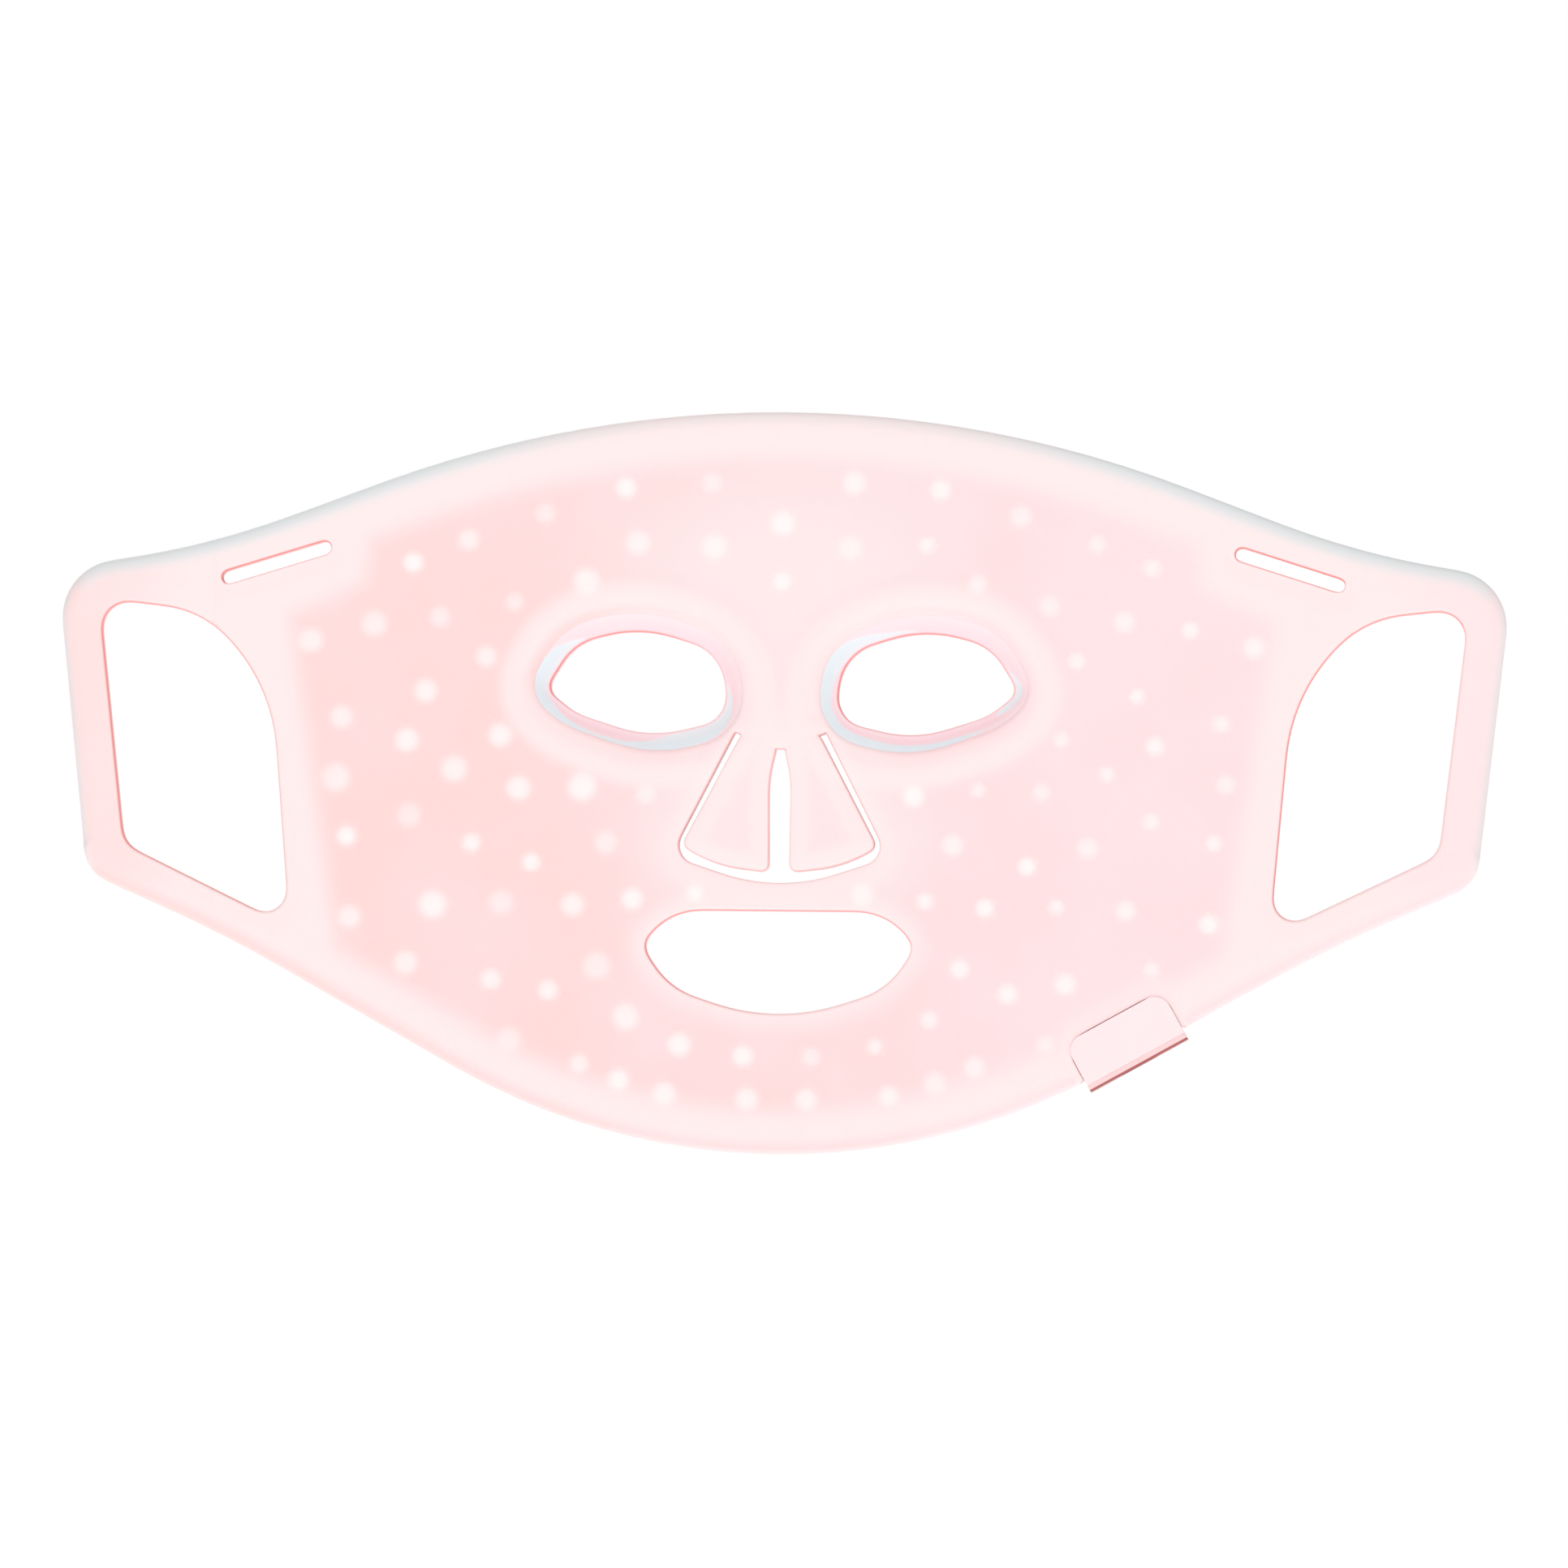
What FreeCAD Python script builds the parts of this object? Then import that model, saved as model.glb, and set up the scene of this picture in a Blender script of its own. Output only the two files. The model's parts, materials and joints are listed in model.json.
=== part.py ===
import FreeCAD, Part
import Sketcher
import os
from math import atan2, cos, pi, sin, tan

from FreeCAD import Placement, Rotation, Vector

# Flexible light-therapy face mask: a flat silicone sheet with a lit panel in its back,
# two strap loops and two nose flaps that bend on thin hinges, and a charging port.
# X points to the viewer's right, Z up; the face side lies at Y = 0 and the front faces -Y.
# A depth is a distance from the face side towards the front, so it is -Y.

doc = FreeCAD.newDocument("LightMask")
sheet = doc.addObject("Spreadsheet::Sheet", "Sizes")

SIZES = {
    # layers
    "sheetThick": 5.2, "linerThick": 2.3, "pocketDeep": 3.6, "circuitThick": 0.3,
    "layerFit": 0.1, "openEnd": 2.0,
    # outline of the sheet: crown and chin on the middle line, the rest on both sides
    "crownZ": 82.0, "crownReach": 101.0,
    "shoulderX": 135.6, "shoulderZ": 31.3, "shoulderRound": 200.0,
    "tabTopX": 171.45, "tabTopZ": 25.7, "tabTopRound": 13.5,
    "tabFootX": 163.6, "tabFootZ": -46.0, "tabFootRound": 9.5,
    "bendX": 130.2, "bendZ": -60.7, "bendRound": 300.0,
    "chinZ": -133.6, "chinReach": 87.2,
    # strap loops: bars round the side opening, its inner wall and the bending line
    "loopBarTop": 10.15, "loopBarFoot": 8.9, "loopDropTop": 7.1, "loopRiseFoot": 6.7,
    "loopRound": 6.0, "loopToeBack": 14.9, "loopToeRise": 2.3, "loopToeRound": 5.0,
    "loopArchX": 137.2, "loopArchZ": 15.9, "loopArchRound": 25.0,
    "loopWallX": 120.2, "loopWallZ": -1.1, "loopWallRound": 42.0,
    "loopHingeX": 136.6, "hingeGap": 0.4,
    # strap slots
    "slotX": 119.3, "slotZ": 27.3, "slotTilt": 17.3, "slotLong": 27.0, "slotWide": 3.2,
    "slotRound": 1.5,
    # eye opening, its middle and half sizes
    "eyeX": 33.8, "eyeZ": 0.0, "eyeHalfLong": 20.3, "eyeHalfTall": 11.4,
    "templeX": 55.2, "templeZ": -1.8, "templeRound": 3.0,
    "browX": 48.5, "browZ": 8.8, "browRound": 13.0,
    "archX": 33.5, "archZ": 12.3, "archRound": 30.0,
    "bridgeX": 15.2, "bridgeZ": 7.0, "bridgeRound": 11.0,
    "tearX": 12.8, "tearZ": -8.4, "tearRound": 7.0,
    "lowerX": 31.0, "lowerZ": -12.4, "lowerRound": 28.0,
    "lidX": 48.0, "lidZ": -7.3, "lidRound": 16.0,
    # eye shields, the raised ring round them and the band without lights
    "shieldReach": 4.6, "shieldFit": 0.15, "shieldFront": 4.4,
    "shieldLedge": 1.6, "skirtBack": 5.0, "skirtWall": 1.5,
    "ridgeWide": 4.2, "ridgeTall": 1.1, "eyeBand": 9.5,
    # mouth
    "mouthZ": -65.5, "mouthHalfLong": 31.2, "mouthHalfTall": 12.0, "mouthBand": 1.6,
    "lipX": 25.1, "lipZ": -53.8, "lipRound": 15.0,
    "smileX": 32.3, "smileZ": -61.9, "smileRound": 3.5,
    "jowlX": 25.6, "jowlZ": -72.0, "jowlRound": 18.0,
    "lipFootZ": -80.5, "lipFootRound": 48.0,
    # nose opening and the two flaps in it
    "noseZ": -30.0, "noseHalfLong": 24.0, "noseHalfTall": 17.0, "noseBand": 3.0,
    "noseTopX": 10.5, "noseTopZ": -11.5, "noseTopRound": 0.55,
    "noseMidZ": -15.6, "noseMidRound": 0.5,
    "nostrilX": 25.6, "nostrilZ": -41.0, "nostrilRound": 4.5,
    "noseFootZ": -49.5, "noseFootRound": 43.0,
    "slitWide": 1.25, "flapHinge": 0.4, "flapSlitTop": 0.9, "flapGap": 2.35,
    "flapWaistX": 2.6, "flapWaistZ": -22.5, "flapWaistRound": 34.0, "flapLiftOuter": 2.3,
    "flapLiftInner": 4.0, "flapBellyX": 14.6, "flapBellyLift": 1.3, "flapBellyRound": 32.0,
    "flapCorner": 0.5, "flapToe": 2.0, "flapHeel": 1.5,
    # lit panel: its border inside the outline and its stepped side
    "crownBorder": 10.2, "crownPanelReach": 98.0, "chinBorder": 11.5, "panelMargin": 1.2,
    "circuitMargin": 0.5,
    "stepHighX": 97.3, "stepHighZ": 32.8, "stepLowX": 98.6, "stepLowZ": 22.8,
    "panelSideX": 116.3, "panelSideZ": 14.6, "panelJawX": 104.3, "panelRound": 2.0,
    # lights and resistors
    "ledSide": 2.0, "ledTall": 0.7, "resistorLong": 1.6, "resistorWide": 0.8,
    "resistorTall": 0.45,
    # charging port on the lower edge, in its own frame
    "portX": 84.3, "portDrop": 1.35, "portLong": 25.9, "portDeep": 11.2, "portRound": 4.0, "portFit": 0.15,
    "portProud": 0.6, "portWall": 0.8, "portSplit": 3.1, "portIsland": 2.0,
    "sealThick": 0.3, "sealWide": 0.9, "sealInset": 0.05, "lipDeep": 1.7,
    "boardThick": 0.6, "boardFit": 0.3, "boardDepth": 1.05,
    "shellLong": 8.9, "shellTall": 3.2, "shellDeep": 6.6, "shellWall": 0.3, "shellRound": 1.4,
    "tongueLong": 6.7, "tongueThick": 0.7, "tongueDeep": 4.4,
    "contactWide": 0.3, "contactPitch": 0.75, "contactThick": 0.08, "contactDeep": 3.4,
    "chipSide": 2.6, "chipDrop": 1, "chipTall": 0.8, "chipInset": 4.95, "capLong": 1.6, "capTall": 0.7,
    "latchLong": 8.0, "latchDeep": 1.5, "tailWide": 6.0,
    "screwInset": 2.55, "screwShank": 0.5, "screwHead": 0.95, "screwHeadTall": 0.6,
    "screwSunk": 0.2, "screwLong": 4.2, "screwFit": 0.08, "pillarRound": 1.6,
}

# Centres of the lights (x, z) on the right half; each has a twin on the left half.
LED_PLACES = {
    "forehead": [(87, 27.5), (74, 33), (56, 39.4), (37, 45.5), (16.7, 47), (34, 32.5), (16, 31.7)],
    "brow": [(111, 9), (96, 13), (80.5, 14.8), (63, 18.4), (46, 23.2), (69.5, 5.5)],
    "cheek": [
        (103.5, -9), (83.7, -2.7), (66, -13), (104.6, -23.3), (76.8, -21), (61.5, -25.4),
        (46.6, -25), (31.5, -26.6), (102, -37), (87.3, -32), (72.5, -38.4), (58.3, -42.8),
        (40.8, -38), (101, -56), (81.5, -53), (65.3, -52.3), (48.5, -52.7), (88, -14.3),
    ],
    "lip": [(34.4, -51.2), (19.7, -49.8)],
    "jaw": [(87.7, -66.7), (67.5, -70.4), (54, -72.8), (42.7, -67), (63, -84.4)],
    "chin": [(35.7, -79), (23, -85.4), (8, -87.9), (46.5, -90), (37.2, -93.8), (26.4, -97), (7, -98)],
}
# Lights on the middle line.
LED_MIDDLE = {"forehead": [(0, 37.4)], "brow": [(0, 23.8)]}
# Series resistors (x, z) beside the lights, also on both sides.
RESISTOR_PLACES = [(93, 4), (57, 27), (26, 39), (92, -45), (53, -34), (75, -62), (30, -88)]


def fillSheet():
    row = 1
    for alias, value in SIZES.items():
        sheet.set("A%d" % row, alias)
        sheet.set("B%d" % row, repr(value))
        sheet.setAlias("B%d" % row, alias)
        row += 1
    doc.recompute()


fillSheet()


def cell(alias):
    return "Sizes." + alias


def worth(expression):
    return float(sheet.evalExpression(str(expression)))


# ---- outlines: corners written as expressions, each with its own rounding ----

def corner(name, side=1):
    return ("%d * %s" % (side, cell(name + "X")), cell(name + "Z"), cell(name + "Round"))


def middle(name):
    return (None, cell(name + "Z"), cell(name + "Round"))


def bothSides(names, top, foot):
    # counter-clockwise from the foot on the middle line, up the right side, down the left
    right = [corner(name) for name in names]
    left = [corner(name, -1) for name in reversed(names)]
    return [foot] + right + ([top] if top else []) + left


def peak(z, reach, nextX, nextZ):
    # a corner on the middle line whose arc runs the length reach down its two sides
    return (None, z, "(%s) * (%s) / abs((%s) - (%s))" % (reach, nextX, z, nextZ))


def grown(corners, centreX, centreZ, halfLong, halfTall, grow):
    # the same outline, larger by about the amount grow all round
    result = []
    for x, z, rounding in corners:
        if x is not None:
            x = "%s + (%s - (%s)) * (1 + (%s) / %s)" % (centreX, x, centreX, grow, halfLong)
        z = "%s + (%s - %s) * (1 + (%s) / %s)" % (centreZ, z, centreZ, grow, halfTall)
        result.append((x, z, "%s + (%s)" % (rounding, grow)))
    return result


CROWN = peak(cell("crownZ"), cell("crownReach"), cell("shoulderX"), cell("shoulderZ"))
CHIN = peak(cell("chinZ"), cell("chinReach"), cell("bendX"), cell("bendZ"))
OUTLINE = bothSides(["bend", "tabFoot", "tabTop", "shoulder"], CROWN, CHIN)
EYE_NAMES = ["temple", "brow", "arch", "bridge", "tear", "lower", "lid"]


def eye(side, grow="0"):
    corners = [corner(name, side) for name in EYE_NAMES]
    centre = "%d * %s" % (side, cell("eyeX"))
    return grown(corners, centre, cell("eyeZ"), cell("eyeHalfLong"), cell("eyeHalfTall"), grow)


def mouth(grow="0"):
    corners = bothSides(["jowl", "smile", "lip"], None, middle("lipFoot"))
    return grown(corners, "0", cell("mouthZ"), cell("mouthHalfLong"), cell("mouthHalfTall"), grow)


def nose(grow="0"):
    corners = bothSides(["nostril", "noseTop"], middle("noseMid"), middle("noseFoot"))
    return grown(corners, "0", cell("noseZ"), cell("noseHalfLong"), cell("noseHalfTall"), grow)


def noseRegion(grow):
    # the nose opening without its notch at the top, for the band round it
    corners = bothSides(["nostril", "noseTop"], None, middle("noseFoot"))
    return grown(corners, "0", cell("noseZ"), cell("noseHalfLong"), cell("noseHalfTall"), grow)


def sideOpening(side):
    top = ("%d * (Sizes.tabTopX - Sizes.loopBarTop)" % side,
           "Sizes.tabTopZ - Sizes.loopDropTop", cell("loopRound"))
    heel = ("%d * (Sizes.tabFootX - Sizes.loopBarFoot)" % side,
            "Sizes.tabFootZ + Sizes.loopRiseFoot", cell("loopRound"))
    toe = ("%d * (Sizes.bendX - Sizes.loopToeBack)" % side,
           "Sizes.bendZ + Sizes.loopToeRise", cell("loopToeRound"))
    return [top, corner("loopArch", side), corner("loopWall", side), toe, heel]


def rectangle(x, z, long, tall, rounding=None):
    # corners of a level rectangle about (x, z)
    signs = [(1, 1), (-1, 1), (-1, -1), (1, -1)]
    return [("%s + %d * (%s) / 2" % (x, a, long), "%s + %d * (%s) / 2" % (z, b, tall), rounding)
            for a, b in signs]


def turned(corners, x, z, tilt):
    # the corners turned by tilt (degrees, counter-clockwise) and moved to (x, z)
    result = []
    for u, w, rounding in corners:
        across = "%s + (%s) * cos(%s) - (%s) * sin(%s)" % (x, u, tilt, w, tilt)
        upward = "%s + (%s) * sin(%s) + (%s) * cos(%s)" % (z, u, tilt, w, tilt)
        result.append((across, upward, rounding))
    return result


def strapSlot(side):
    corners = rectangle("0", "0", cell("slotLong"), cell("slotWide"), cell("slotRound"))
    tilt = "%d * Sizes.slotTilt * 1 deg" % -side
    return turned(corners, "%d * Sizes.slotX" % side, cell("slotZ"), tilt)


# The port stands a little past the straight lower edge: it takes its place and tilt from that line.
EDGE_SLOPE = "((Sizes.bendZ - Sizes.chinZ) / Sizes.bendX)"
PORT_TILT = "atan(%s)" % EDGE_SLOPE
EDGE_Z = "(Sizes.chinZ + %s * Sizes.portX)" % EDGE_SLOPE
PORT_Z = "(%s - Sizes.portDrop)" % EDGE_Z


def portRegion(grow):
    # the port's room in the sheet, open past the edge, with rounded inner corners
    half = "(Sizes.portLong / 2 + (%s))" % grow
    deep = "(Sizes.portDeep + (%s))" % grow
    past = "-Sizes.portDeep"
    rounding = "Sizes.portRound + (%s)" % grow
    corners = [(half, deep, rounding), ("-" + half, deep, rounding),
               ("-" + half, past, None), (half, past, None)]
    return turned(corners, cell("portX"), PORT_Z, PORT_TILT)


def panel(margin):
    # outline of the lit panel; its lower edge runs along the sheet's lower edge
    border = "(Sizes.chinBorder - (%s))" % margin
    foot = (None, "Sizes.chinZ + " + border, "Sizes.chinReach / %s - %s" % (EDGE_SLOPE, border))
    jawX = "(Sizes.panelJawX + (%s))" % margin
    jawZ = "Sizes.chinZ + %s + %s * %s" % (border, EDGE_SLOPE, jawX)
    rounding = cell("panelRound")

    def side(sign):
        points = [(jawX, jawZ)]
        for name in ("panelSide", "stepLow", "stepHigh"):
            points.append(("(%s + (%s))" % (cell(name + "X"), margin),
                           "%s + (%s)" % (cell(name + "Z"), margin)))
        return [("%d * %s" % (sign, x), z, rounding) for x, z in points]

    top = peak("(Sizes.crownZ - Sizes.crownBorder + (%s))" % margin, cell("crownPanelReach"),
               "(Sizes.stepHighX + (%s))" % margin, "(Sizes.stepHighZ + (%s))" % margin)
    return [foot] + side(1) + [top] + list(reversed(side(-1)))


def flap(side):
    lean = "((Sizes.nostrilX - Sizes.noseTopX) / (Sizes.noseTopZ - Sizes.nostrilZ))"
    floor = "((Sizes.nostrilZ - Sizes.noseFootZ) / Sizes.nostrilX)"
    rise = "((Sizes.noseTopZ - Sizes.noseMidZ) / Sizes.noseTopX)"
    heelX = "(Sizes.nostrilX - Sizes.slitWide - Sizes.flapLiftOuter * %s)" % lean
    topX = "(Sizes.noseTopX - Sizes.slitWide)"
    corners = [
        (heelX, "Sizes.nostrilZ + Sizes.flapLiftOuter", cell("flapToe")),
        (topX, "Sizes.noseMidZ + %s * %s - Sizes.flapHinge" % (rise, topX), cell("flapCorner")),
        (cell("flapSlitTop"), "Sizes.noseMidZ + %s * Sizes.flapSlitTop - Sizes.flapHinge" % rise,
         cell("flapCorner")),
        (cell("flapWaistX"), cell("flapWaistZ"), cell("flapWaistRound")),
        (cell("flapGap"), "Sizes.noseFootZ + %s * Sizes.flapGap + Sizes.flapLiftInner" % floor,
         cell("flapHeel")),
        (cell("flapBellyX"), "Sizes.noseFootZ + %s * Sizes.flapBellyX + Sizes.flapBellyLift" % floor,
         cell("flapBellyRound")),
    ]
    return [("%d * %s" % (side, x), z, rounding) for x, z, rounding in corners]


# ---- sketches and features ----

def drawLoop(sketch, corners):
    # straight runs joined by tangent arcs; construction points mark the corners
    places = [(0.0 if x is None else worth(x), worth(z)) for x, z, rounding in corners]
    radii = [None if rounding is None else worth(rounding) for x, z, rounding in corners]
    count = len(corners)
    ends = []
    for i in range(count):
        px, pz = places[i]
        ax, az = places[i - 1]
        bx, bz = places[(i + 1) % count]
        inward = atan2(pz - az, px - ax)
        turn = (atan2(bz - pz, bx - px) - inward + pi) % (2 * pi) - pi
        cut = 0.0 if radii[i] is None else radii[i] * tan(abs(turn) / 2)
        ends.append((inward, turn, cut))
    geometry = []
    for i in range(count):
        j = (i + 1) % count
        run = atan2(places[j][1] - places[i][1], places[j][0] - places[i][0])
        first = (places[i][0] + ends[i][2] * cos(run), places[i][1] + ends[i][2] * sin(run))
        last = (places[j][0] - ends[j][2] * cos(run), places[j][1] - ends[j][2] * sin(run))
        geometry.append(Part.LineSegment(Vector(first[0], first[1], 0), Vector(last[0], last[1], 0)))
    lines = list(sketch.addGeometry(geometry, False))
    marks = list(sketch.addGeometry([Part.Point(Vector(x, z, 0)) for x, z in places], True))
    constraints = []
    bound = []
    for i, (x, z, rounding) in enumerate(corners):
        before, after, mark = lines[i - 1], lines[i], marks[i]
        if x is None:
            constraints.append(Sketcher.Constraint("PointOnObject", mark, 1, -2))
        else:
            bound.append((len(constraints), x))
            constraints.append(Sketcher.Constraint("DistanceX", mark, 1, places[i][0]))
        bound.append((len(constraints), z))
        constraints.append(Sketcher.Constraint("DistanceY", mark, 1, places[i][1]))
        if rounding is None:
            constraints.append(Sketcher.Constraint("Coincident", before, 2, mark, 1))
            constraints.append(Sketcher.Constraint("Coincident", after, 1, mark, 1))
            continue
        inward, turn, cut = ends[i]
        way = 1 if turn > 0 else -1
        startX, startZ = geometry[i - 1].EndPoint.x, geometry[i - 1].EndPoint.y
        hubX, hubZ = startX - way * radii[i] * sin(inward), startZ + way * radii[i] * cos(inward)
        begin = inward - way * pi / 2
        span = (begin, begin + turn) if way > 0 else (begin + turn, begin)
        circle = Part.Circle(Vector(hubX, hubZ, 0), Vector(0, 0, 1), radii[i])
        arc = sketch.addGeometry(Part.ArcOfCircle(circle, span[0], span[1]), False)
        first, last = (1, 2) if way > 0 else (2, 1)
        constraints.append(Sketcher.Constraint("Tangent", before, 2, arc, first))
        constraints.append(Sketcher.Constraint("Tangent", arc, last, after, 1))
        constraints.append(Sketcher.Constraint("PointOnObject", mark, 1, before))
        constraints.append(Sketcher.Constraint("PointOnObject", mark, 1, after))
        bound.append((len(constraints), rounding))
        constraints.append(Sketcher.Constraint("Radius", arc, radii[i]))
    start = sketch.ConstraintCount
    sketch.addConstraint(constraints)
    for index, expression in bound:
        sketch.setExpression("Constraints[%d]" % (start + index), expression)


def drawCircle(sketch, x, z, radius):
    circle = Part.Circle(Vector(worth(x), worth(z), 0), Vector(0, 0, 1), worth(radius))
    index = sketch.addGeometry(circle, False)
    start = sketch.ConstraintCount
    sketch.addConstraint([Sketcher.Constraint("DistanceX", index, 3, worth(x)),
                          Sketcher.Constraint("DistanceY", index, 3, worth(z)),
                          Sketcher.Constraint("Radius", index, worth(radius))])
    for offset, expression in enumerate((x, z, radius)):
        sketch.setExpression("Constraints[%d]" % (start + offset), expression)


def newBody(label):
    body = doc.addObject("PartDesign::Body", label)
    body.Label = label
    if hasattr(body, "AllowCompound"):
        body.AllowCompound = True
    return body


def sketchAt(body, label, loops, depth, role="XZ_Plane"):
    sketch = body.newObject("Sketcher::SketchObject", body.Name + "_" + label + "_outline")
    plane = [item for item in body.Origin.OriginFeatures if item.Role == role][0]
    sketch.AttachmentSupport = [(plane, "")]
    sketch.MapMode = "FlatFace"
    sketch.setExpression("AttachmentOffset.Base.z", depth)
    for loop in loops:
        if isinstance(loop, tuple):
            drawCircle(sketch, *loop)
        else:
            drawLoop(sketch, loop)
    return sketch


def pad(body, label, loops, depth, thick):
    # solid from depth to depth + thick
    feature = body.newObject("PartDesign::Pad", body.Name + "_" + label)
    feature.Profile = sketchAt(body, label, loops, depth)
    feature.setExpression("Length", thick)
    doc.recompute()
    return feature


def pocket(body, label, loops, depth, thick):
    # room from depth to depth + thick
    feature = body.newObject("PartDesign::Pocket", body.Name + "_" + label)
    feature.Profile = sketchAt(body, label, loops, "%s + (%s)" % (depth, thick))
    feature.setExpression("Length", thick)
    before = body.Shape.Volume
    doc.recompute()
    if body.Shape.Volume > before - 1e-6:
        raise RuntimeError("%s cuts nothing from %s" % (label, body.Label))
    return feature


def through(body, label, loops):
    # room through every layer of the sheet, with the raised rings
    return pocket(body, label, loops, "-Sizes.openEnd",
                  "Sizes.sheetThick + Sizes.ridgeTall + 2 * Sizes.openEnd")


SIDES = {"left": -1, "right": 1}
HINGE_IN = "(Sizes.loopHingeX - Sizes.hingeGap / 2)"
HINGE_OUT = "(Sizes.loopHingeX + Sizes.hingeGap / 2)"


def endTrim(side, fromX, toX):
    # a tall rectangle between two distances from the middle line
    x = "%d * (%s + %s) / 2" % (side, fromX, toX)
    return rectangle(x, "0", "(%s - %s)" % (toX, fromX), "4 * Sizes.crownZ")


def islands(body, make, fit):
    # the places where the sheet is solid behind the panel
    eyeGrow = "Sizes.eyeBand + (%s)" % fit
    make(body, "eye_band", [eye(-1, eyeGrow), eye(1, eyeGrow)])
    make(body, "nose_band", [noseRegion("Sizes.noseBand + (%s)" % fit)])
    make(body, "mouth_band", [mouth("Sizes.mouthBand + (%s)" % fit)])
    make(body, "port_band", [portRegion("Sizes.portIsland + (%s)" % fit)])


def makeMaskSheet():
    body = newBody("mask_sheet")
    pad(body, "sheet", [OUTLINE], "0", cell("sheetThick"))
    pocket(body, "panel_pocket", [panel("Sizes.panelMargin")], "0", cell("pocketDeep"))

    def island(target, label, loops):
        pad(target, label, loops, "0", cell("sheetThick"))

    islands(body, island, "0")
    trimBelow(body)
    outer = "Sizes.shieldReach + Sizes.shieldFit + Sizes.ridgeWide"
    pad(body, "eye_ridge", [eye(-1, outer), eye(1, outer)], cell("sheetThick"), cell("ridgeTall"))
    inner = "Sizes.shieldReach + Sizes.shieldFit"
    through(body, "eye_holes", [eye(-1, inner), eye(1, inner)])
    through(body, "mouth_hole", [mouth()])
    through(body, "nose_hole", [nose()])
    through(body, "strap_slots", [strapSlot(-1), strapSlot(1)])
    through(body, "side_openings", [sideOpening(-1), sideOpening(1)])
    through(body, "loop_ends", [endTrim(s, HINGE_IN, "2 * Sizes.tabTopX") for s in (-1, 1)])
    through(body, "port_notch", [portRegion("Sizes.portFit")])
    tailSlot(body)
    return body


def trimBelow(body):
    # the port's band is cut back to the sheet's lower edge
    half = "(Sizes.portLong / 2 + 2 * Sizes.portIsland + Sizes.portRound)"
    corners = [(half, "0", None), ("-" + half, "0", None),
               ("-" + half, "-2 * Sizes.portDeep", None), (half, "-2 * Sizes.portDeep", None)]
    through(body, "port_edge", [turned(corners, cell("portX"), EDGE_Z, PORT_TILT)])


TAIL_INNER = "(Sizes.portDeep + Sizes.portIsland + Sizes.circuitMargin)"


def tailBand(grow):
    # the connecting tail's strip, from inside the port to the circuit
    half = "((Sizes.tailWide) / 2 + (%s))" % grow
    start = "(Sizes.portDeep - Sizes.portWall - Sizes.latchDeep)"
    corners = [(half, TAIL_INNER, None), ("-" + half, TAIL_INNER, None),
               ("-" + half, start, None), (half, start, None)]
    return turned(corners, cell("portX"), PORT_Z, PORT_TILT)


def tailSlot(body):
    pocket(body, "tail_slot", [tailBand("Sizes.boardFit")],
           "Sizes.pocketDeep - Sizes.circuitThick - Sizes.boardFit",
           "Sizes.circuitThick + Sizes.boardFit")


def makeStrapLoop(name, side):
    body = newBody("strap_loop_" + name)
    pad(body, "sheet", [OUTLINE], "0", cell("sheetThick"))
    through(body, "side_opening", [sideOpening(side)])
    through(body, "mask_part", [endTrim(side, "-2 * Sizes.tabTopX", HINGE_OUT)])
    return body


def makeNoseFlap(name, side):
    body = newBody("nose_flap_" + name)
    pad(body, "sheet", [flap(side)], "0", cell("sheetThick"))
    return body


def makePanelLayer(label, margin, fit, depth, thick):
    # a sheet of the panel's outline with room for the solid places
    body = newBody(label)
    pad(body, "layer", [panel(margin)], depth, thick)

    def room(target, name, loops):
        pocket(target, name, loops, "%s - Sizes.openEnd" % depth, "%s + 2 * Sizes.openEnd" % thick)

    islands(body, room, fit)
    return body


def makeEyeShield(name, side):
    # a flange in the sheet's eye hole, a sloping wall and a skirt towards the face
    body = newBody("eye_shield_" + name)
    flange = "Sizes.shieldReach"
    pad(body, "flange", [eye(side, flange), eye(side)], "Sizes.shieldFront - Sizes.shieldLedge",
        cell("shieldLedge"))
    pad(body, "wall", [eye(side, "Sizes.skirtWall"), eye(side)], "-Sizes.skirtBack",
        "Sizes.skirtBack + Sizes.shieldFront - Sizes.shieldLedge / 2")
    return body


def makeBoxes(label, places, long, wide, tall, depth):
    # equal small blocks on the circuit, gathered in one piece
    blocks = []
    for number, (x, z) in enumerate(places, 1):
        block = doc.addObject("Part::Box", "%s_%02d" % (label, number))
        block.setExpression("Length", long)
        block.setExpression("Width", tall)
        block.setExpression("Height", wide)
        block.setExpression("Placement.Base.x", "%s - %s / 2" % (x, long))
        block.setExpression("Placement.Base.y", "-(%s) - %s" % (depth, tall))
        block.setExpression("Placement.Base.z", "%s - %s / 2" % (z, wide))
        blocks.append(block)
    group = doc.addObject("Part::Compound", label)
    group.Links = blocks
    group.Label = label
    return group


def mirroredPlaces(places):
    return [(side * x, z) for x, z in places for side in (-1, 1)]


def makeLights():
    parts = []
    depth = "Sizes.pocketDeep - Sizes.circuitThick - Sizes.ledTall"
    size = (cell("ledSide"), cell("ledSide"), cell("ledTall"))
    for zone in ("forehead", "brow", "lip", "chin"):
        places = mirroredPlaces(LED_PLACES[zone]) + LED_MIDDLE.get(zone, [])
        parts.append(makeBoxes("lights_" + zone, places, size[0], size[1], size[2], depth))
    for zone in ("cheek", "jaw"):
        for name, side in SIDES.items():
            places = [(side * x, z) for x, z in LED_PLACES[zone]]
            label = "lights_%s_%s" % (zone, name)
            parts.append(makeBoxes(label, places, size[0], size[1], size[2], depth))
    for name, side in SIDES.items():
        places = [(side * x, z) for x, z in RESISTOR_PLACES]
        parts.append(makeBoxes("resistors_" + name, places, cell("resistorLong"),
                               cell("resistorWide"), cell("resistorTall"),
                               "Sizes.pocketDeep - Sizes.circuitThick - Sizes.resistorTall"))
    return parts


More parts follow.
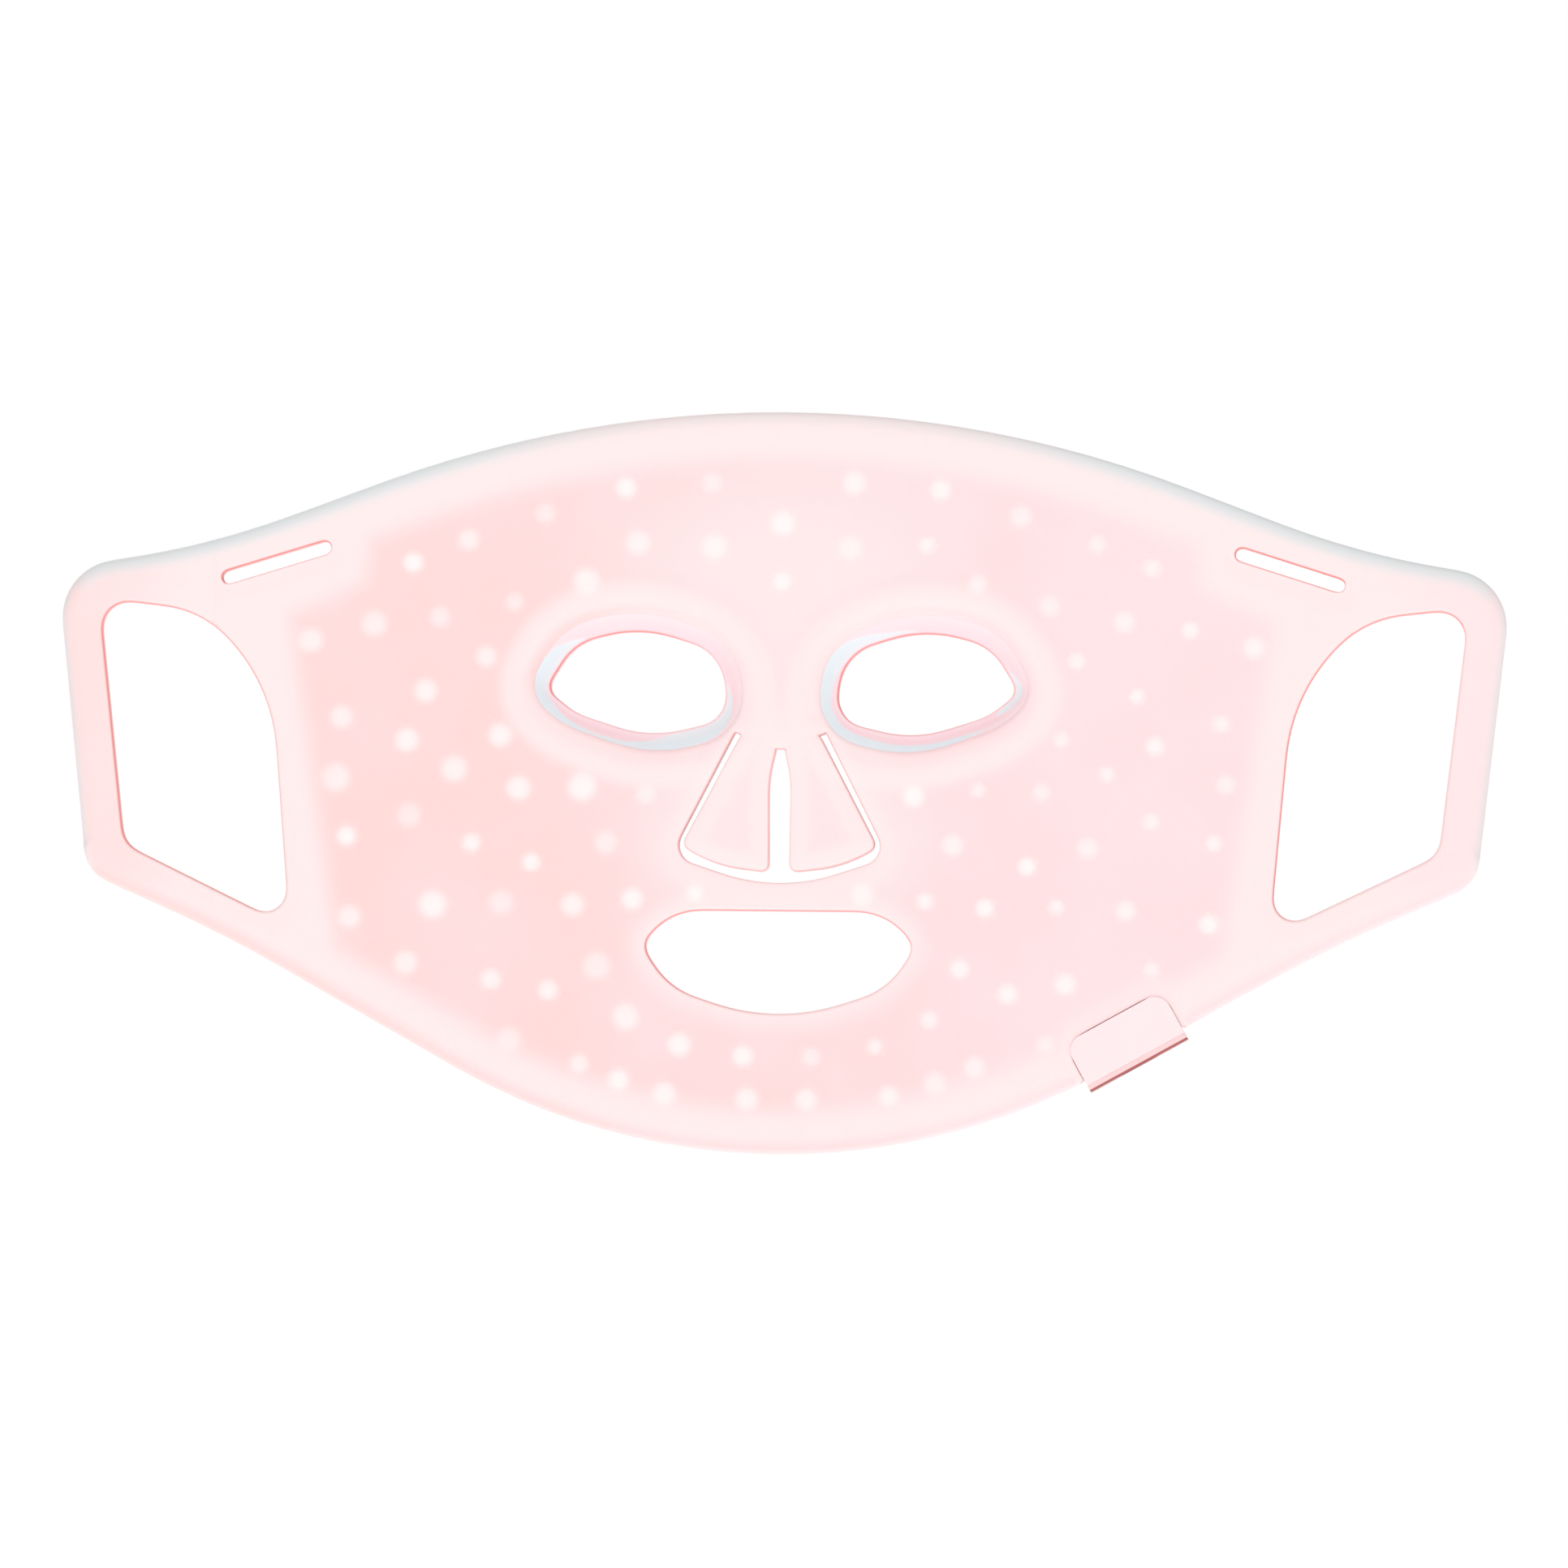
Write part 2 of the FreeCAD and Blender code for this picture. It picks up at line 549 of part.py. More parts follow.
# ---- charging port: local X along the edge, local Z into the sheet, Y as the mask's ----

def placePort(body):
    body.Placement = Placement(Vector(0, 0, 0), Rotation(Vector(0, -1, 0), 10))
    body.setExpression("Placement.Base.x", cell("portX"))
    body.setExpression("Placement.Base.z", PORT_Z)
    body.setExpression("Placement.Rotation.Angle", PORT_TILT)


def portBody(label):
    body = newBody(label)
    placePort(body)
    return body


def portBlock(inset, top="0"):
    # the housing's outline less inset; rounded inner corners, square at the lip
    half = "(Sizes.portLong / 2 - (%s))" % inset
    deep = "(Sizes.portDeep - (%s))" % inset
    rounding = "Sizes.portRound - (%s)" % inset
    return [(half, deep, rounding), ("-" + half, deep, rounding),
            ("-" + half, top, None), (half, top, None)]


SOCKET_DEPTH = "(Sizes.boardDepth + Sizes.boardThick)"
SCREW_X = "(Sizes.portLong / 2 - Sizes.screwInset)"
SCREW_W = "(Sizes.portDeep - Sizes.screwInset)"
CHIP_X = "(Sizes.portLong / 2 - Sizes.chipInset)"


def screwCircles(radius):
    return [("%d * %s" % (side, SCREW_X), SCREW_W, radius) for side in (-1, 1)]


def makePortCase():
    body = portBody("port_case")
    deep = "Sizes.portSplit - Sizes.sealThick / 2"
    pad(body, "block", [portBlock("0")], "0", deep)
    pocket(body, "inside", [portBlock("Sizes.portWall", cell("portWall"))], cell("portWall"), deep)
    mouthRoom = rectangle("0", "0", "Sizes.shellLong + 2 * Sizes.portFit", "3 * Sizes.portWall")
    pocket(body, "socket_mouth", [mouthRoom], SOCKET_DEPTH + " - Sizes.portFit", deep)
    pad(body, "pillars", screwCircles("Sizes.pillarRound"), "0", deep)
    pocket(body, "screw_holes", screwCircles("Sizes.screwShank + Sizes.screwFit"),
           "-Sizes.openEnd", "Sizes.portSplit + 2 * Sizes.openEnd")
    pocket(body, "screw_seats", screwCircles("Sizes.screwHead + Sizes.screwFit"),
           "-Sizes.openEnd", "Sizes.openEnd + Sizes.screwSunk + Sizes.screwHeadTall")
    return body


def makePortCover():
    body = portBody("port_cover")
    start = "Sizes.portSplit + Sizes.sealThick / 2"
    deep = "(Sizes.sheetThick + Sizes.portProud - (%s))" % start
    pad(body, "block", [portBlock("0")], start, deep)
    inside = "(%s - Sizes.portWall)" % deep
    pocket(body, "inside", [portBlock("Sizes.portWall", cell("portWall"))],
           "%s - Sizes.openEnd" % start, "%s + Sizes.openEnd" % inside)
    tall = "(%s + Sizes.shellTall + Sizes.portFit - (%s))" % (SOCKET_DEPTH, start)
    mouthRoom = rectangle("0", "0", "Sizes.shellLong + 2 * Sizes.portFit", "3 * Sizes.portWall")
    pocket(body, "socket_mouth", [mouthRoom], "%s - Sizes.openEnd" % start,
           "%s + Sizes.openEnd" % tall)
    back = rectangle("0", "Sizes.portDeep", "Sizes.tailWide + 2 * Sizes.boardFit",
                     "3 * Sizes.portWall")
    pocket(body, "tail_gate", [back], "%s - Sizes.openEnd" % start,
           "Sizes.openEnd + Sizes.pocketDeep - (%s) + Sizes.boardFit" % start)
    pad(body, "pillars", screwCircles("Sizes.pillarRound"), start, deep)
    pocket(body, "screw_holes", screwCircles("Sizes.screwShank + Sizes.screwFit"),
           "%s - Sizes.openEnd" % start,
           "Sizes.openEnd + Sizes.screwSunk + Sizes.screwLong + Sizes.screwFit - (%s)" % start)
    return body


def makePortSeal():
    body = portBody("port_seal")
    depth = "Sizes.portSplit - Sizes.sealThick / 2"
    pad(body, "ring", [portBlock("Sizes.sealInset"), portBlock("Sizes.sealWide", cell("sealWide"))], depth,
        cell("sealThick"))
    gate = rectangle("0", "0", "Sizes.shellLong + 2 * Sizes.portFit", "3 * Sizes.portWall")
    pocket(body, "socket_mouth", [gate], depth + " - Sizes.openEnd",
           "Sizes.sealThick + 2 * Sizes.openEnd")
    return body


def makePortLip():
    body = portBody("port_lip")
    deep = "Sizes.sheetThick + Sizes.portProud"
    plate = rectangle("0", "-Sizes.lipDeep / 2", cell("portLong"), cell("lipDeep"))
    pad(body, "plate", [plate], "0", deep)
    gate = rectangle("0", "-Sizes.lipDeep / 2", "Sizes.shellLong + 2 * Sizes.portFit",
                     "2 * Sizes.lipDeep")
    pocket(body, "socket_mouth", [gate], SOCKET_DEPTH + " - Sizes.portFit",
           "Sizes.shellTall + 2 * Sizes.portFit")
    return body


def makePortBoard():
    body = portBody("port_board")
    inset = "Sizes.portWall + Sizes.boardFit"
    pad(body, "plate", [portBlock(inset, inset)], cell("boardDepth"), cell("boardThick"))
    pocket(body, "pillar_notches", screwCircles("Sizes.pillarRound + Sizes.boardFit"), "0",
           "2 * Sizes.portSplit")
    return body


def makeSocketShell():
    # a flattened tube that opens through the lip
    body = portBody("socket_shell")
    plane = "XY_Plane"
    middleY = "-(%s + Sizes.shellTall / 2)" % SOCKET_DEPTH
    outer = rectangle("0", middleY, cell("shellLong"), cell("shellTall"), cell("shellRound"))
    inner = rectangle("0", middleY, "Sizes.shellLong - 2 * Sizes.shellWall",
                      "Sizes.shellTall - 2 * Sizes.shellWall",
                      "Sizes.shellRound - Sizes.shellWall")
    tube = body.newObject("PartDesign::Pad", "socket_shell_tube")
    tube.Profile = sketchAt(body, "tube", [outer, inner], "-Sizes.lipDeep / 2", plane)
    tube.setExpression("Length", cell("shellDeep"))
    back = body.newObject("PartDesign::Pad", "socket_shell_back")
    back.Profile = sketchAt(body, "back", [outer], "Sizes.shellDeep - Sizes.lipDeep / 2", plane)
    back.setExpression("Length", cell("shellWall"))
    doc.recompute()
    return body


def makeSocketTongue():
    body = portBody("socket_tongue")
    middleDepth = "(%s + Sizes.shellTall / 2)" % SOCKET_DEPTH
    rear = "(Sizes.shellDeep - Sizes.lipDeep / 2)"
    blade = rectangle("0", "%s - Sizes.tongueDeep / 2" % rear, cell("tongueLong"), cell("tongueDeep"))
    pad(body, "blade", [blade], "%s - Sizes.tongueThick / 2" % middleDepth, cell("tongueThick"))
    return body


def makeSocketContacts():
    # two rows of gold strips on the tongue
    body = portBody("socket_contacts")
    middleDepth = "(%s + Sizes.shellTall / 2)" % SOCKET_DEPTH
    rear = "(Sizes.shellDeep - Sizes.lipDeep / 2)"
    strips = [rectangle("%d * Sizes.contactPitch / 2" % step, "%s - Sizes.contactDeep / 2" % rear,
                        cell("contactWide"), cell("contactDeep")) for step in range(-7, 8, 2)]
    pad(body, "front_row", strips, "%s + Sizes.tongueThick / 2" % middleDepth, cell("contactThick"))
    pad(body, "back_row", strips, "%s - Sizes.tongueThick / 2 - Sizes.contactThick" % middleDepth,
        cell("contactThick"))
    return body


def makeBoardParts():
    parts = []
    chip = portBody("driver_chip")
    pad(chip, "package", [rectangle("-" + CHIP_X, "Sizes.portDeep / 2 - Sizes.chipDrop", cell("chipSide"),
                                    cell("chipSide"))], SOCKET_DEPTH, cell("chipTall"))
    parts.append(chip)
    caps = portBody("port_capacitors")
    places = [(CHIP_X, "Sizes.portDeep / 2 + %d * Sizes.capLong" % step) for step in (-1, 0)]
    pad(caps, "blocks", [rectangle(x, w, cell("capLong"), "Sizes.capLong / 2") for x, w in places],
        SOCKET_DEPTH, cell("capTall"))
    parts.append(caps)
    latch = portBody("tail_connector")
    top = "Sizes.portDeep - Sizes.portWall - Sizes.boardFit - Sizes.latchDeep / 2"
    pad(latch, "block", [rectangle("0", top, cell("latchLong"), cell("latchDeep"))], SOCKET_DEPTH,
        "Sizes.pocketDeep - Sizes.circuitThick - %s" % SOCKET_DEPTH)
    parts.append(latch)
    return parts


def makeTail():
    # the flexible strip that leaves the circuit and plugs in above the board
    body = newBody("circuit_tail")
    pad(body, "strip", [tailBand("0")], "Sizes.pocketDeep - Sizes.circuitThick",
        cell("circuitThick"))
    return body


def makeScrew(name, side):
    body = portBody("port_screw_" + name)
    head = body.newObject("PartDesign::Revolution", "port_screw_%s_turning" % name)
    sketch = body.newObject("Sketcher::SketchObject", "port_screw_%s_outline" % name)
    plane = [item for item in body.Origin.OriginFeatures if item.Role == "YZ_Plane"][0]
    sketch.AttachmentSupport = [(plane, "")]
    sketch.MapMode = "FlatFace"
    sketch.setExpression("AttachmentOffset.Base.z", "%d * %s" % (side, SCREW_X))
    start = "-Sizes.screwSunk"
    under = "%s - Sizes.screwHeadTall" % start
    tip = "%s - Sizes.screwLong" % start
    axisW, shankW = SCREW_W, SCREW_W + " + Sizes.screwShank"
    headW = SCREW_W + " + Sizes.screwHead"
    drawLoop(sketch, [(start, axisW, None), (start, headW, None), (under, headW, None),
                      (under, shankW, None), (tip, shankW, None), (tip, axisW, None)])
    doc.recompute()
    head.Profile = sketch
    head.ReferenceAxis = (sketch, ["Edge6"])
    head.Angle = 360
    doc.recompute()
    return body


def makeAll():
    parts = [makeMaskSheet()]
    for name, side in SIDES.items():
        parts.append(makeStrapLoop(name, side))
        parts.append(makeNoseFlap(name, side))
        parts.append(makeEyeShield(name, side))
    parts.append(makePanelLayer("face_liner", "Sizes.panelMargin - Sizes.layerFit",
                                cell("layerFit"), "0", cell("linerThick")))
    parts.append(makePanelLayer("flex_circuit", "0", cell("circuitMargin"),
                                "Sizes.pocketDeep - Sizes.circuitThick", cell("circuitThick")))
    parts += makeLights()
    parts += [makePortCase(), makePortCover(), makePortSeal(), makePortLip(), makePortBoard()]
    parts += [makeSocketShell(), makeSocketTongue(), makeSocketContacts(), makeTail()]
    parts += makeBoardParts()
    for name, side in SIDES.items():
        parts.append(makeScrew(name, side))
    return parts


def checkAll(parts):
    for item in doc.Objects:
        if "Invalid" in item.State or "Error" in item.State:
            raise RuntimeError("%s failed: %s" % (item.Name, item.State))
    for part in parts:
        if part.Shape.isNull() or not part.Shape.isValid() or part.Shape.Volume <= 0:
            raise RuntimeError("%s has no sound shape" % part.Label)


parts = makeAll()
doc.recompute()
checkAll(parts)
os.makedirs("parts", exist_ok=True)
for part in parts:
    part.Shape.exportStep("parts/%s.step" % part.Label)
    box = part.Shape.BoundBox
    print("%-22s %2d solid %9.2f mm3  y %.2f..%.2f" % (part.Label, len(part.Shape.Solids),
          part.Shape.Volume, box.YMin, box.YMax))
print("nodes:", len(parts))
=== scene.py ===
import json
import math
import bmesh
import bpy
import numpy as np
from mathutils import Matrix, Vector
from mathutils.geometry import delaunay_2d_cdt
from mathutils.kdtree import KDTree


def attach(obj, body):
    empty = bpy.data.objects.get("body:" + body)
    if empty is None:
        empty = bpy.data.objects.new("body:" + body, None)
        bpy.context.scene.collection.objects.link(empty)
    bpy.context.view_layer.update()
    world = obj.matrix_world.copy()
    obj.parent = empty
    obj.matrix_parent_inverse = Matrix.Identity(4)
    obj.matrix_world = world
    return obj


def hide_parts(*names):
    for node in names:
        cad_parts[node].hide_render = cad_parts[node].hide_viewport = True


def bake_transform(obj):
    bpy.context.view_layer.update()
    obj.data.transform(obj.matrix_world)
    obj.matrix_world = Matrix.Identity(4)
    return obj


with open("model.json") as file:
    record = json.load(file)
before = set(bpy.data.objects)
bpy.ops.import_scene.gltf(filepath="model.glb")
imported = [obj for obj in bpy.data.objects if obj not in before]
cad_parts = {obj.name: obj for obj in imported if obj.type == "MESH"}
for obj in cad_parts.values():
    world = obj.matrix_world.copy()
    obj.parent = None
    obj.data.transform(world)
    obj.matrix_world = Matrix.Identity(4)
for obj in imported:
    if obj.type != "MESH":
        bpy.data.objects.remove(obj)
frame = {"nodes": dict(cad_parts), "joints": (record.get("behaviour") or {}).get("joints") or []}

for leftover in ("Cube", "Light", "Camera"):  # the start-up file's own objects
    if leftover in bpy.data.objects:
        bpy.data.objects.remove(bpy.data.objects[leftover])
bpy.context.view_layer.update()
jointOf = {joint["name"]: joint for joint in frame["joints"]}
mm = 0.001


def linear(red, green, blue):  # screen values 0..255 to linear light
    def one(value):
        value /= 255
        return value / 12.92 if value <= 0.04045 else ((value + 0.055) / 1.055) ** 2.4
    return (one(red), one(green), one(blue), 1.0)


def smooth(low, high, value):
    t = np.clip((value - low) / (high - low), 0, 1)
    return t * t * (3 - 2 * t)


def mergedCopy(node):
    work = bmesh.new()
    work.from_mesh(frame["nodes"][node].data)
    bmesh.ops.remove_doubles(work, verts=work.verts, dist=1e-7)
    return work


def sectionSegments(node, depth):  # x, z segments where the plane at this depth cuts the node
    work = mergedCopy(node)
    everything = work.verts[:] + work.edges[:] + work.faces[:]
    cut = bmesh.ops.bisect_plane(work, geom=everything, dist=1e-8, plane_co=(0, -depth, 0),
                                 plane_no=(0, 1, 0))["geom_cut"]
    segments = [[(v.co.x, v.co.z) for v in e.verts] for e in cut if isinstance(e, bmesh.types.BMEdge)]
    work.free()
    return segments


def chainSegments(segments, reach):  # joins segments end to end into closed loops
    left = [list(map(tuple, pair)) for pair in segments]
    chains = []
    grid = {}
    for index, pair in enumerate(left):
        for point in pair:
            grid.setdefault((round(point[0] * 1e6 / 2), round(point[1] * 1e6 / 2)), []).append(index)
    used = set()
    for index in range(len(left)):
        if index in used:
            continue
        used.add(index)
        chain = list(left[index])
        for _ in range(2):
            growing = True
            while growing:
                growing = False
                tip = chain[-1]
                cellX, cellZ = round(tip[0] * 1e6 / 2), round(tip[1] * 1e6 / 2)
                for stepX in (-1, 0, 1):
                    for stepZ in (-1, 0, 1):
                        for other in grid.get((cellX + stepX, cellZ + stepZ), []):
                            if other in used or growing:
                                continue
                            a, b = left[other]
                            if math.dist(a, tip) < 3e-6:
                                chain.append(b)
                            elif math.dist(b, tip) < 3e-6:
                                chain.append(a)
                            else:
                                continue
                            used.add(other)
                            growing = True
            chain.reverse()
        chains.append(chain)
    loops = [chain for chain in chains if math.dist(chain[0], chain[-1]) < 5e-6]
    spare = [chain for chain in chains if math.dist(chain[0], chain[-1]) >= 5e-6]
    while spare:  # open chains end where a hinge line was taken out
        chain = spare.pop(0)
        while True:
            gaps = [(math.dist(chain[-1], c[0]), 0, k) for k, c in enumerate(spare)]
            gaps += [(math.dist(chain[-1], c[-1]), 1, k) for k, c in enumerate(spare)]
            gaps.append((math.dist(chain[-1], chain[0]), 2, -1))
            gap, way, k = min(gaps)
            if way == 2 or gap > reach:
                break
            piece = spare.pop(k)
            chain += piece[::-1] if way == 1 else piece
        loops.append(chain)
    return [np.array(loop[:-1] if math.dist(loop[0], loop[-1]) < 5e-6 else loop) for loop in loops]


def loopEdges(first, count):  # the closed ring of point pairs that starts at this number
    return [(first + i, first + (i + 1) % count) for i in range(count)]


def signedArea(loop):
    x, z = loop[:, 0], loop[:, 1]
    return 0.5 * float(np.sum(x * np.roll(z, -1) - np.roll(x, -1) * z))


def resampled(loop, step, keepAngle=28, passes=6):  # even steps, gentle bends smoothed, corners kept
    closed = np.vstack([loop, loop[:1]])
    lengths = np.hypot(*np.diff(closed, axis=0).T)
    keep = lengths > 2e-6
    loop = loop[keep]
    closed = np.vstack([loop, loop[:1]])
    lengths = np.hypot(*np.diff(closed, axis=0).T)
    travel = np.concatenate([[0], np.cumsum(lengths)])
    count = max(12, int(round(travel[-1] / step)))
    spots = np.linspace(0, travel[-1], count, endpoint=False)
    even = np.stack([np.interp(spots, travel, closed[:, k]) for k in (0, 1)], axis=1)
    for _ in range(passes):
        before, after = np.roll(even, 1, axis=0), np.roll(even, -1, axis=0)
        a, b = even - before, after - even
        turn = np.degrees(np.abs(np.arctan2(a[:, 0] * b[:, 1] - a[:, 1] * b[:, 0], (a * b).sum(1))))
        soft = (turn < keepAngle)[:, None]
        even = np.where(soft, even * 0.5 + (before + after) * 0.25, even)
    return even


def insideLoop(points, loop):
    x, z = points[:, 0], points[:, 1]
    result = np.zeros(len(points), bool)
    ends = np.roll(loop, -1, axis=0)
    for (ax, az), (bx, bz) in zip(loop, ends):
        crosses = (az > z) != (bz > z)
        if not crosses.any():
            continue
        where = ax + (z[crosses] - az) * (bx - ax) / (bz - az)
        result[np.flatnonzero(crosses)[x[crosses] < where]] ^= True
    return result


def within(points, outer, holes):  # inside the outline and outside its holes
    result = insideLoop(points, outer)
    for hole in holes:
        result &= ~insideLoop(points, hole)
    return result


def treeOf(targets):
    tree = KDTree(len(targets))
    for index, (x, z) in enumerate(targets):
        tree.insert((x, z, 0), index)
    tree.balance()
    return tree


def nearest(points, targets):  # distance to and index of the nearest target for each point
    tree = targets if isinstance(targets, KDTree) else treeOf(targets)
    found = [tree.find((x, z, 0)) for x, z in points]
    return np.array([f[2] for f in found]), np.array([f[1] for f in found], int)


def finerLoop(loop, step=0.3):
    closed = np.vstack([loop, loop[:1]])
    pieces = []
    for a, b in zip(closed[:-1], closed[1:]):
        count = max(1, int(math.ceil(math.dist(a, b) / step)))
        pieces.append(a + (b - a) * (np.arange(count) / count)[:, None])
    return np.vstack(pieces)


def gapTo(points, shapes):  # distance to the nearest of these loops
    return nearest(points, np.vstack([finerLoop(loop) for loop in shapes]))[0]


def inScene(name, data):
    made = bpy.data.objects.new(name, data)
    bpy.context.scene.collection.objects.link(made)
    return made


def newPiece(name, verts, faces, material, attributes=None, sharp=35):
    mesh = bpy.data.meshes.new(name)
    mesh.from_pydata([tuple(map(float, v)) for v in verts], [], [tuple(map(int, f)) for f in faces])
    mesh.validate(clean_customdata=False)
    for key, values in (attributes or {}).items():
        layer = mesh.attributes.new(key, "FLOAT", "POINT")
        layer.data.foreach_set("value", np.asarray(values, np.float32))
    mesh.materials.append(material)
    mesh.shade_smooth()
    mesh.set_sharp_from_angle(angle=math.radians(sharp))
    mesh.update()
    return inScene(name, mesh)


def turnOutward(piece):
    work = bmesh.new()
    work.from_mesh(piece.data)
    bmesh.ops.recalc_face_normals(work, faces=work.faces)
    if work.calc_volume(signed=True) < 0:
        bmesh.ops.reverse_faces(work, faces=work.faces)
    work.to_mesh(piece.data)
    work.free()


class Shader:  # one material's node tree with short calls for its nodes
    def __init__(self, name, roughness=0.5, color=None, **sockets):
        self.material = bpy.data.materials.new(name)
        self.material.use_nodes = True
        self.tree = self.material.node_tree
        self.main = self.tree.nodes["Principled BSDF"]
        self.main.inputs["Roughness"].default_value = roughness
        if color:
            self.main.inputs["Base Color"].default_value = color
        for key, value in sockets.items():
            self.main.inputs[key].default_value = value
        self.place = self.node("ShaderNodeTexCoord").outputs["Object"]

    def node(self, kind, **settings):
        made = self.tree.nodes.new(kind)
        for key, value in settings.items():
            setattr(made, key, value)
        return made

    def join(self, output, target):
        self.tree.links.new(output, target)

    def attribute(self, name):
        return self.node("ShaderNodeAttribute", attribute_name=name).outputs["Fac"]

    def noise(self, scale, detail=3, rough=0.5):
        made = self.node("ShaderNodeTexNoise")
        made.inputs["Scale"].default_value = scale
        made.inputs["Detail"].default_value = detail
        made.inputs["Roughness"].default_value = rough
        self.join(self.place, made.inputs["Vector"])
        return made.outputs["Fac"]

    def ramp(self, factor, *stops):
        made = self.node("ShaderNodeValToRGB")
        line = made.color_ramp
        line.elements[0].position, line.elements[0].color = stops[0]
        line.elements[1].position, line.elements[1].color = stops[-1]
        for position, color in stops[1:-1]:
            line.elements.new(position).color = color
        self.join(factor, made.inputs["Fac"])
        return made.outputs["Color"]

    def mix(self, factor, first, second):
        made = self.node("ShaderNodeMix", data_type="RGBA")
        self.join(factor, made.inputs["Factor"])
        for socket, value in ((made.inputs[6], first), (made.inputs[7], second)):
            if isinstance(value, tuple):
                socket.default_value = value
            else:
                self.join(value, socket)
        return made.outputs[2]

    def spread(self, factor, low, high, ends="To"):  # 0 to 1 made low to high, or the other way with "From"
        made = self.node("ShaderNodeMapRange")
        made.inputs[ends + " Min"].default_value = low
        made.inputs[ends + " Max"].default_value = high
        self.join(factor, made.inputs["Value"])
        return made.outputs["Result"]

    def color(self, output):
        self.join(output, self.main.inputs["Base Color"])

    def roughness(self, factor, low, high):
        self.join(self.spread(factor, low, high), self.main.inputs["Roughness"])

    def bump(self, height, distance, strength=0.5):
        made = self.node("ShaderNodeBump")
        made.inputs["Strength"].default_value = strength
        made.inputs["Distance"].default_value = distance
        self.join(height, made.inputs["Height"])
        self.join(made.outputs["Normal"], self.main.inputs["Normal"])


# panelRose, panelPeach and panelPale are the painted red LED glow seen through the pale silicone
siliconeLook = {
    "rimPink": linear(255, 233, 233), "panelRose": linear(255, 224, 227), "panelPeach": linear(255, 215, 213),
    "panelPale": linear(255, 233, 234), "lightWhite": linear(255, 244, 243), "rimShade": linear(226, 235, 236),
    "edgeRed": linear(246, 132, 128), "mottleScale": 24, "grainScale": 1400, "grainDepth": 0.03 * mm,
    "softDepth": (1.0, 0.45, 0.4), "warmSide": -0.11, "coolSide": 0.09,
}


def softSilicone():
    look = siliconeLook
    s = Shader("softSilicone", 0.46, **{"Subsurface Weight": 0.1, "Subsurface Scale": 1.2 * mm,
                                        "Specular IOR Level": 0.3, "Sheen Weight": 0.05})
    s.main.inputs["Subsurface Radius"].default_value = look["softDepth"]
    across = s.node("ShaderNodeSeparateXYZ")
    s.join(s.place, across.inputs[0])
    side = s.spread(across.outputs["X"], look["warmSide"], look["coolSide"], "From")
    blotch = s.node("ShaderNodeMath", operation="ADD")
    s.join(side, blotch.inputs[0])
    s.join(s.spread(s.noise(look["mottleScale"], 4, 0.6), -0.9, 0.9), blotch.inputs[1])
    mottled = s.ramp(blotch.outputs[0], (0.0, look["panelPeach"]), (1.0, look["panelRose"]))
    mottled = s.mix(s.attribute("panelPale"), mottled, look["panelPale"])
    # painted LED glow: the pink where the glow tint is high, the paler rim colour elsewhere
    color = s.mix(s.attribute("panelTint"), look["rimPink"], mottled)
    color = s.mix(s.attribute("lightGlow"), color, look["lightWhite"])
    # painted shade on the rounded outer rim
    color = s.mix(s.attribute("rimShade"), color, look["rimShade"])
    # painted red glow along the cut edges
    color = s.mix(s.attribute("edgeRed"), color, look["edgeRed"])
    s.color(color)
    s.roughness(s.noise(160, 2), 0.40, 0.52)
    s.bump(s.noise(look["grainScale"], 2), look["grainDepth"], 0.35)
    return s.material


def shieldSilicone():
    look = siliconeLook
    s = Shader("shieldSilicone", 0.5, **{"Subsurface Weight": 0.1, "Subsurface Scale": 1.0 * mm,
                                         "Specular IOR Level": 0.3})
    # the funnel wall's grey-blue is the pale silicone where no LED glow reaches, with painted shade, on the
    # lower and left parts of each eye
    color = s.mix(s.attribute("coolWall"), linear(255, 231, 234), linear(232, 243, 248))
    # painted LED glow on the funnel slope and lip
    color = s.mix(s.attribute("lipRose"), color, linear(255, 223, 229))
    # painted red glow along the eye hole's edge
    color = s.mix(s.attribute("edgeRed"), color, look["edgeRed"])
    s.color(color)
    s.roughness(s.noise(220, 2), 0.42, 0.55)
    s.bump(s.noise(look["grainScale"], 2), look["grainDepth"], 0.35)
    return s.material


def clearSilicone():
    s = Shader("clearSilicone", 0.3, linear(255, 240, 238), **{"Alpha": 0.15, "Specular IOR Level": 0.55})
    s.roughness(s.noise(300, 2), 0.24, 0.36)
    s.bump(s.noise(700, 2), 0.03 * mm, 0.3)
    return s.material


def circuitFilm():
    s = Shader("circuitFilm", 0.4)
    s.color(s.ramp(s.noise(60, 3), (0.3, linear(255, 238, 230)), (0.7, linear(252, 230, 222))))
    s.bump(s.noise(500, 2), 0.02 * mm, 0.3)
    return s.material


def plainPlastic(name, color, shade, roughness):
    s = Shader(name, roughness)
    s.color(s.ramp(s.noise(120, 2), (0.3, color), (0.7, shade)))
    s.roughness(s.noise(400, 2), roughness - 0.05, roughness + 0.07)
    s.bump(s.noise(900, 3), 0.02 * mm, 0.4)
    return s.material


def plainMetal(name, color, roughness):
    s = Shader(name, roughness, **{"Metallic": 1.0})
    s.color(s.ramp(s.noise(900, 2), (0.3, color), (0.7, tuple(0.86 * c for c in color[:3]) + (1.0,))))
    s.roughness(s.noise(1500, 2), roughness - 0.06, roughness + 0.1)
    s.bump(s.noise(2500, 2), 0.006 * mm, 0.3)
    return s.material


